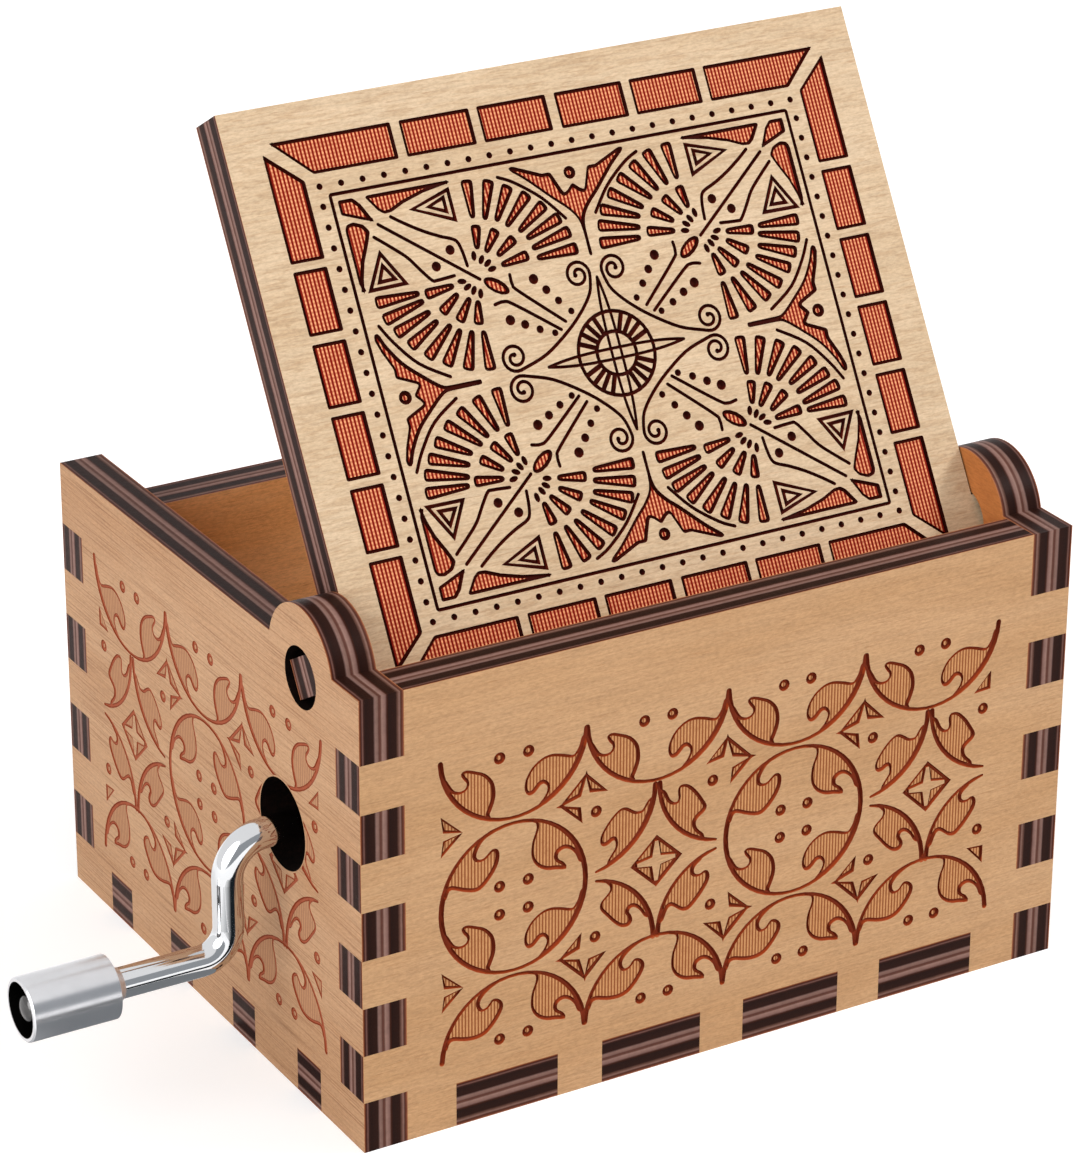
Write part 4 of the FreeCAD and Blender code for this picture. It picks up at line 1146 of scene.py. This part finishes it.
def dress_case():
    # the fourth colour of each groove look is painted shade, for groove sides that face away from the key
    # lamp
    warm = ("A4522E", "8E3616", "82341E", "541A0A")
    rose = ("883E24", "722C16", "964E36", "60240F")
    maroon = ("6A200E", "440E04", "380B04", "2A0602")
    long_hatch = ("C28C5E", "844A28", LONG_PITCH, 0.44)
    short_hatch = ("B28361", "946A4E", SHORT_PITCH, 0.5, 0.0, 1.0)
    lid_hatch = ("FAAA78", "7A1004", LID_PITCH, 0.58, 0.6)
    # painted light: the first pair is a brightened wood for the inner faces of the long walls and the lid
    painted_light_inside, deep = ("FABE84", "ECAA6A"), ("C07A42", "AC6834")
    quarter = math.radians(90)
    drawing = long_wall_drawing()
    for panel, seed in ((HINGE, 0.0), (FRONT, 90.0)):
        grain = (quarter, 0, 0), "C69D74", "BE9368"
        looks = case_materials(panel, *grain, painted_light_inside, warm, long_hatch, seed, ribs=0.1)
        engrave(panel, drawing, looks, LONG_PITCH)
    drawing = short_wall_drawing()
    for panel, seed in ((CRANK, 20.0), (END, 140.0)):
        grain = (0, quarter, -quarter), "C09874", "B68B66"
        looks = case_materials(panel, *grain, deep, rose, short_hatch, seed, ribs=0.5)
        engrave(panel, drawing, looks, SHORT_PITCH)
    grain = (-LID_ANGLE, 0, 0), "D4BA9A", "CBAF8D"
    looks = case_materials(LID, *grain, painted_light_inside, maroon, lid_hatch, 60.0, ripple=0.3)
    engrave(LID, lid_drawing(), looks, LID_PITCH)


def paint(name, *materials):
    mesh = NODES[name].data
    mesh.materials.clear()
    for material in materials:
        mesh.materials.append(material)


def dress_floor_board():
    """Board faces on its top and underside, cut edge on the tabs' ends and sides."""
    node = NODES["floor_board"]
    paint("floor_board", wood("floor_board_face", "BC8450", "9E6632", "7A4520", seed=200.0),
          cut_edge("floor_board_edge", (0, 0, PLY), (0, 0, 1)))
    for face in node.data.polygons:
        face.material_index = 0 if abs(face.normal.z) > 0.9 else 1


def dress_crank():
    """Painted shade: near-black steel inside the knob's mouth and on the wire there, and a darkened dome
    on the wire's end; a duller collar behind the knob.
    """
    # painted shade: near-black steel, with stains, for the knob's recess and the wire's head in it
    dark = metal("painted_shade_steel", "1C1B1A", 0.45, spots=0.5, stain="0C0B0B")
    chrome = metal("chrome", "D9DADC", 0.07, spots=0.1, stain="C4C4C8")
    paint("crank_handle", chrome, dark, metal("pressed_collar", "E4E4E6", 0.5))
    for face in NODES["crank_handle"].data.polygons:
        x = face.center.x / MM
        face.material_index = 2 if KNOB_NEAR < x < KNOB_NEAR + COLLAR else int(x < KNOB_FLOOR)
    paint("crank_knob", metal("satin_steel", "DADADD", 0.25, "X", 0.03, 0.2, "C2C2C6"), dark)
    # faces inside the knob's mouth take the painted shade steel
    for face in NODES["crank_knob"].data.polygons:
        x, y, z = face.center / MM
        radius = math.hypot(y - CRANK_Y, z - CRANK_Z + THROW)
        face.material_index = int(x > KNOB_FAR + KNOB_LIP and radius < KNOB_MOUTH)
    # painted shade: the domed wire end is chrome darkened as if in the recess's shade, with stains
    wire_end(metal("painted_shade_chrome", "5E5D5D", 0.2, spots=0.5, stain="3A3938"))


def dress_movement():
    steel = metal("steel", "B9B9BB", 0.3, "X", 0.1, 0.4, "8E8A86")
    for look, names in (
        (steel, "worm_spindle spindle_clip outer_crank_bearing inner_crank_bearing"),
        (steel, "drum_arbor drum_pins front_drum_bearing rear_drum_bearing"),
        (metal("brass", "D8B25A", 0.24, "Y", 0.1, 0.4, "B08640"), "drum_tube drum_end_cap worm_wheel"),
        (metal("comb_steel", "C4C5C8", 0.28, "Y", 0.1, 0.3, "9A9C9E"), "tuned_comb"),
        (metal("gold_plate", "D2A64E", 0.26, "Y", 0.1, 0.4, "B07E34"), "bedplate"),
        (metal("lead", "6E7074", 0.5, "X", 0.4, 0.6, "4E5054"), "bass_weights"),
    ):
        for name in names.split():
            paint(name, look)
    bench = [(16.2, COMB_MIDDLE + side * 5.6, COMB_TOP) for side in (-1, 1)]
    screws("comb_screws", bench, 1.65, 1.1, steel)
    feet = [(-14.6, -17.9), (-5.4, -17.9), (-14.6, 9.5), (-5.4, 9.5), (-21.2, CRANK_Y), (1.1, CRANK_Y)]
    screws("bearing_screws", [(x, y, FOOT_TOP) for x, y in feet], 1.15, 0.75, steel)


def lathe(bm, profile, centre):
    """Turns (x, radius) pairs about the X axis through the centre; the ends lie on the axis."""
    sides, rings = 32, []
    for x, radius in profile:
        ways = [radius * unit(2 * math.pi * k / sides) for k in range(sides if radius else 1)]
        rings.append([bm.verts.new((Vector(centre) + Vector((x, way.x, way.y))) * MM) for way in ways])
    for a, b in zip(rings, rings[1:]):
        for k in range(sides):
            corners = [a[k % len(a)], a[(k + 1) % len(a)], b[(k + 1) % len(b)], b[k % len(b)]]
            bm.faces.new(list(dict.fromkeys(corners))).smooth = True


def finish_piece(bm, name, body, look):
    made = new_piece(bm, name, [look])
    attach(made, body)
    return made


def wire_end(look):
    """The crank wire's domed end, in the knob's recess."""
    base, neck, radius, dome = KNOB_FLOOR - 0.9, KNOB_FLOOR - 1.7, 1.12, 0.54
    profile = [(base, 0), (base, radius), (neck, radius)]
    for turn in range(14, 85, 14):
        way = unit(math.radians(turn))
        profile.append((neck - dome * way.y, radius * way.x))
    profile.append((neck - dome - 0.01, 0))
    bm = bmesh.new()
    lathe(bm, profile, (0, CRANK_Y, CRANK_Z - THROW))
    finish_piece(bm, "crank_wire_end", NODES["crank_handle"]["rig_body"], look)


def screw_head(bm, place, radius, height, turn):
    """A slotted cheese head that stands on its place."""
    slot_share, slot_floor = 0.16, height * 0.5
    corner = math.degrees(math.asin(slot_share))
    upper = arc((0, 0), radius, corner, 180 - corner, 14)
    ring = upper + [-p for p in upper]
    corners = {0, len(upper) - 1, len(upper), 2 * len(upper) - 1}
    spin = Matrix.Rotation(math.radians(turn), 2)
    levels = []
    for i, p in enumerate(ring):
        p = spin @ p
        heights = (0, slot_floor, height) if i in corners else (0, height)
        levels.append([bm.verts.new((Vector(place) + Vector((p.x, p.y, h))) * MM) for h in heights])
    count, last = len(ring), len(upper) - 1
    for i in range(count):
        a, b = levels[i], levels[(i + 1) % count]
        if i in (last, count - 1):
            a, b = a[:2], b[:2]
        bm.faces.new(a[:1] + b + a[:0:-1])
    for first in (0, last + 1):
        bm.faces.new([levels[i][-1] for i in range(first, first + last + 1)])
        one, other = levels[first], levels[first + last]
        bm.faces.new([one[1], one[2], other[2], other[1]])
    bm.faces.new([levels[i][1] for i in (0, last, last + 1, count - 1)])
    bm.faces.new([level[0] for level in reversed(levels)])


def screws(name, places, radius, height, look):
    """Screw heads in one piece, each with its slot turned another way."""
    first_turn, turn_step, worn_edge = 35, 67, 0.07
    bm = bmesh.new()
    for i, place in enumerate(places):
        screw_head(bm, place, radius, height, first_turn + turn_step * i)
    made = finish_piece(bm, name, "case", look)
    bevel = made.modifiers.new("edge", "BEVEL")
    bevel.width = worn_edge * MM
    bevel.segments = 2
    bevel.limit_method = "ANGLE"


dress_case()
dress_floor_board()
dress_crank()
dress_movement()

# ---------------------------------------------------------------- stage, lights, camera


def card(left, right, near, far, height=0.0):
    """The corners of a level rectangle."""
    return [(left, near, height), (right, near, height), (right, far, height), (left, far, height)]


def stage_piece(name, points, faces, material):
    mesh = bpy.data.meshes.new(name)
    mesh.from_pydata([Vector(p) * MM for p in points], [], faces)
    mesh.materials.append(material)
    made = add_object(name, mesh)
    return made


def floor():
    """White table; to the camera it glows, more so the farther it lies from the box."""
    reach = 3000
    shader = Shader("stage_floor")
    away = shader.node("ShaderNodeVectorMath", {0: shader.position}, operation="LENGTH").outputs["Value"]
    glow = shader.math("MULTIPLY", shader.seen_directly(), shader.stretch(away, (300, 1500), (0.35, 0.6)))
    shader.feed(shader.bsdf.inputs["Emission Color"], "FFFFFF")
    white = shader.set(colour=(0.8, 0.8, 0.8, 1), roughness=0.9, specular=0.0, glow=glow)
    stage_piece("stage_floor", card(-reach, reach, -reach, reach), [range(4)], white)


def flag(name, points, faces, shade, fade):
    """Dark card of the studio, which only polished surfaces show; fade is where along X it
    goes from white to its own shade."""
    shader = Shader(name)
    across = shader.stretch(shader.dot(shader.position, (1, 0, 0)), fade)
    tone = shader.ramp(across, (0.0, "FFFFFF"), (1.0, shade))
    shader.link(shader.node("ShaderNodeEmission", {"Color": tone}).outputs["Emission"], shader.surface)
    made = stage_piece(name, points, faces, shader.material)
    for ray in ("camera", "diffuse", "transmission", "shadow"):
        setattr(made, f"visible_{ray}", False)


def flags():
    """Cards on the floor in front of the crank and under it, and a wall behind the camera."""
    low, count = 0.5, 17
    flag("flag_floor", card(-66, -18, -62, -38, low), [range(4)], "20262A", (-62, -40))
    flag("flag_under", card(-66, -32, -37, -4, low), [range(4)], "85888B", (-64, -48))
    points = []
    for height, reach in ((0, 1500), (500, 1500), (1000, 1300)):
        points += [(*p, height) for p in arc((0, 0), reach, -175, -15, count - 1)]
    starts = [count * row + k for row in range(2) for k in range(count - 1)]
    faces = [(a, a + 1, a + count + 1, a + count) for a in starts]
    flag("flag_wall", points, faces, "A4A8AC", (-1400, -900))


def world():
    """White all round; weaker where it only lights."""
    made = bpy.data.worlds.new("studio")
    bpy.context.scene.world = made
    made.use_nodes = True
    nodes = Nodes(made.node_tree)
    weak = 0.62
    strength = nodes.math("MULTIPLY_ADD", nodes.seen_directly(), 1 - weak, weak)
    background = nodes.node("ShaderNodeBackground", {"Color": "FFFFFF", "Strength": strength})
    nodes.link(background.outputs[0], nodes.node("ShaderNodeOutputWorld").inputs["Surface"])


def lamp(name, place, size, power):
    """A round area light, aimed at the box."""
    data = bpy.data.lights.new(name, "AREA")
    data.shape = "DISK"
    data.size = size * MM
    data.energy = power
    made = add_object(name, data)
    made.location = Vector(place) * MM
    made.rotation_mode = "QUATERNION"
    made.rotation_quaternion = (Vector((0, 0, 30)) * MM - made.location).to_track_quat("-Z", "Y")


def camera():
    """Where the photograph was taken from."""
    azimuth, elevation, roll = (math.radians(a) for a in (-30.4419, 24.2895, 0.2486))
    place = Vector((-168.128, -283.224, 179.172))
    flat = math.cos(elevation)
    back = Vector((math.sin(azimuth) * flat, -math.cos(azimuth) * flat, math.sin(elevation)))
    right = (-back).cross(Vector((0, 0, 1))).normalized()
    x_axis = math.cos(roll) * right + math.sin(roll) * right.cross(-back)
    data = bpy.data.cameras.new("camera")
    data.lens = 138.69
    data.sensor_width = 36.0
    data.clip_start = 0.01
    made = add_object("camera", data)
    turn = Matrix((x_axis, back.cross(x_axis), back)).transposed().to_4x4()
    made.matrix_world = Matrix.Translation(place * MM) @ turn
    bpy.context.scene.camera = made


floor()
world()
flags()
lamp("key", (750, -380, 600), 250, 6.2)
lamp("fill", (-780, -300, 420), 900, 7.1)
camera()
bpy.context.scene.view_settings.view_transform = "Standard"
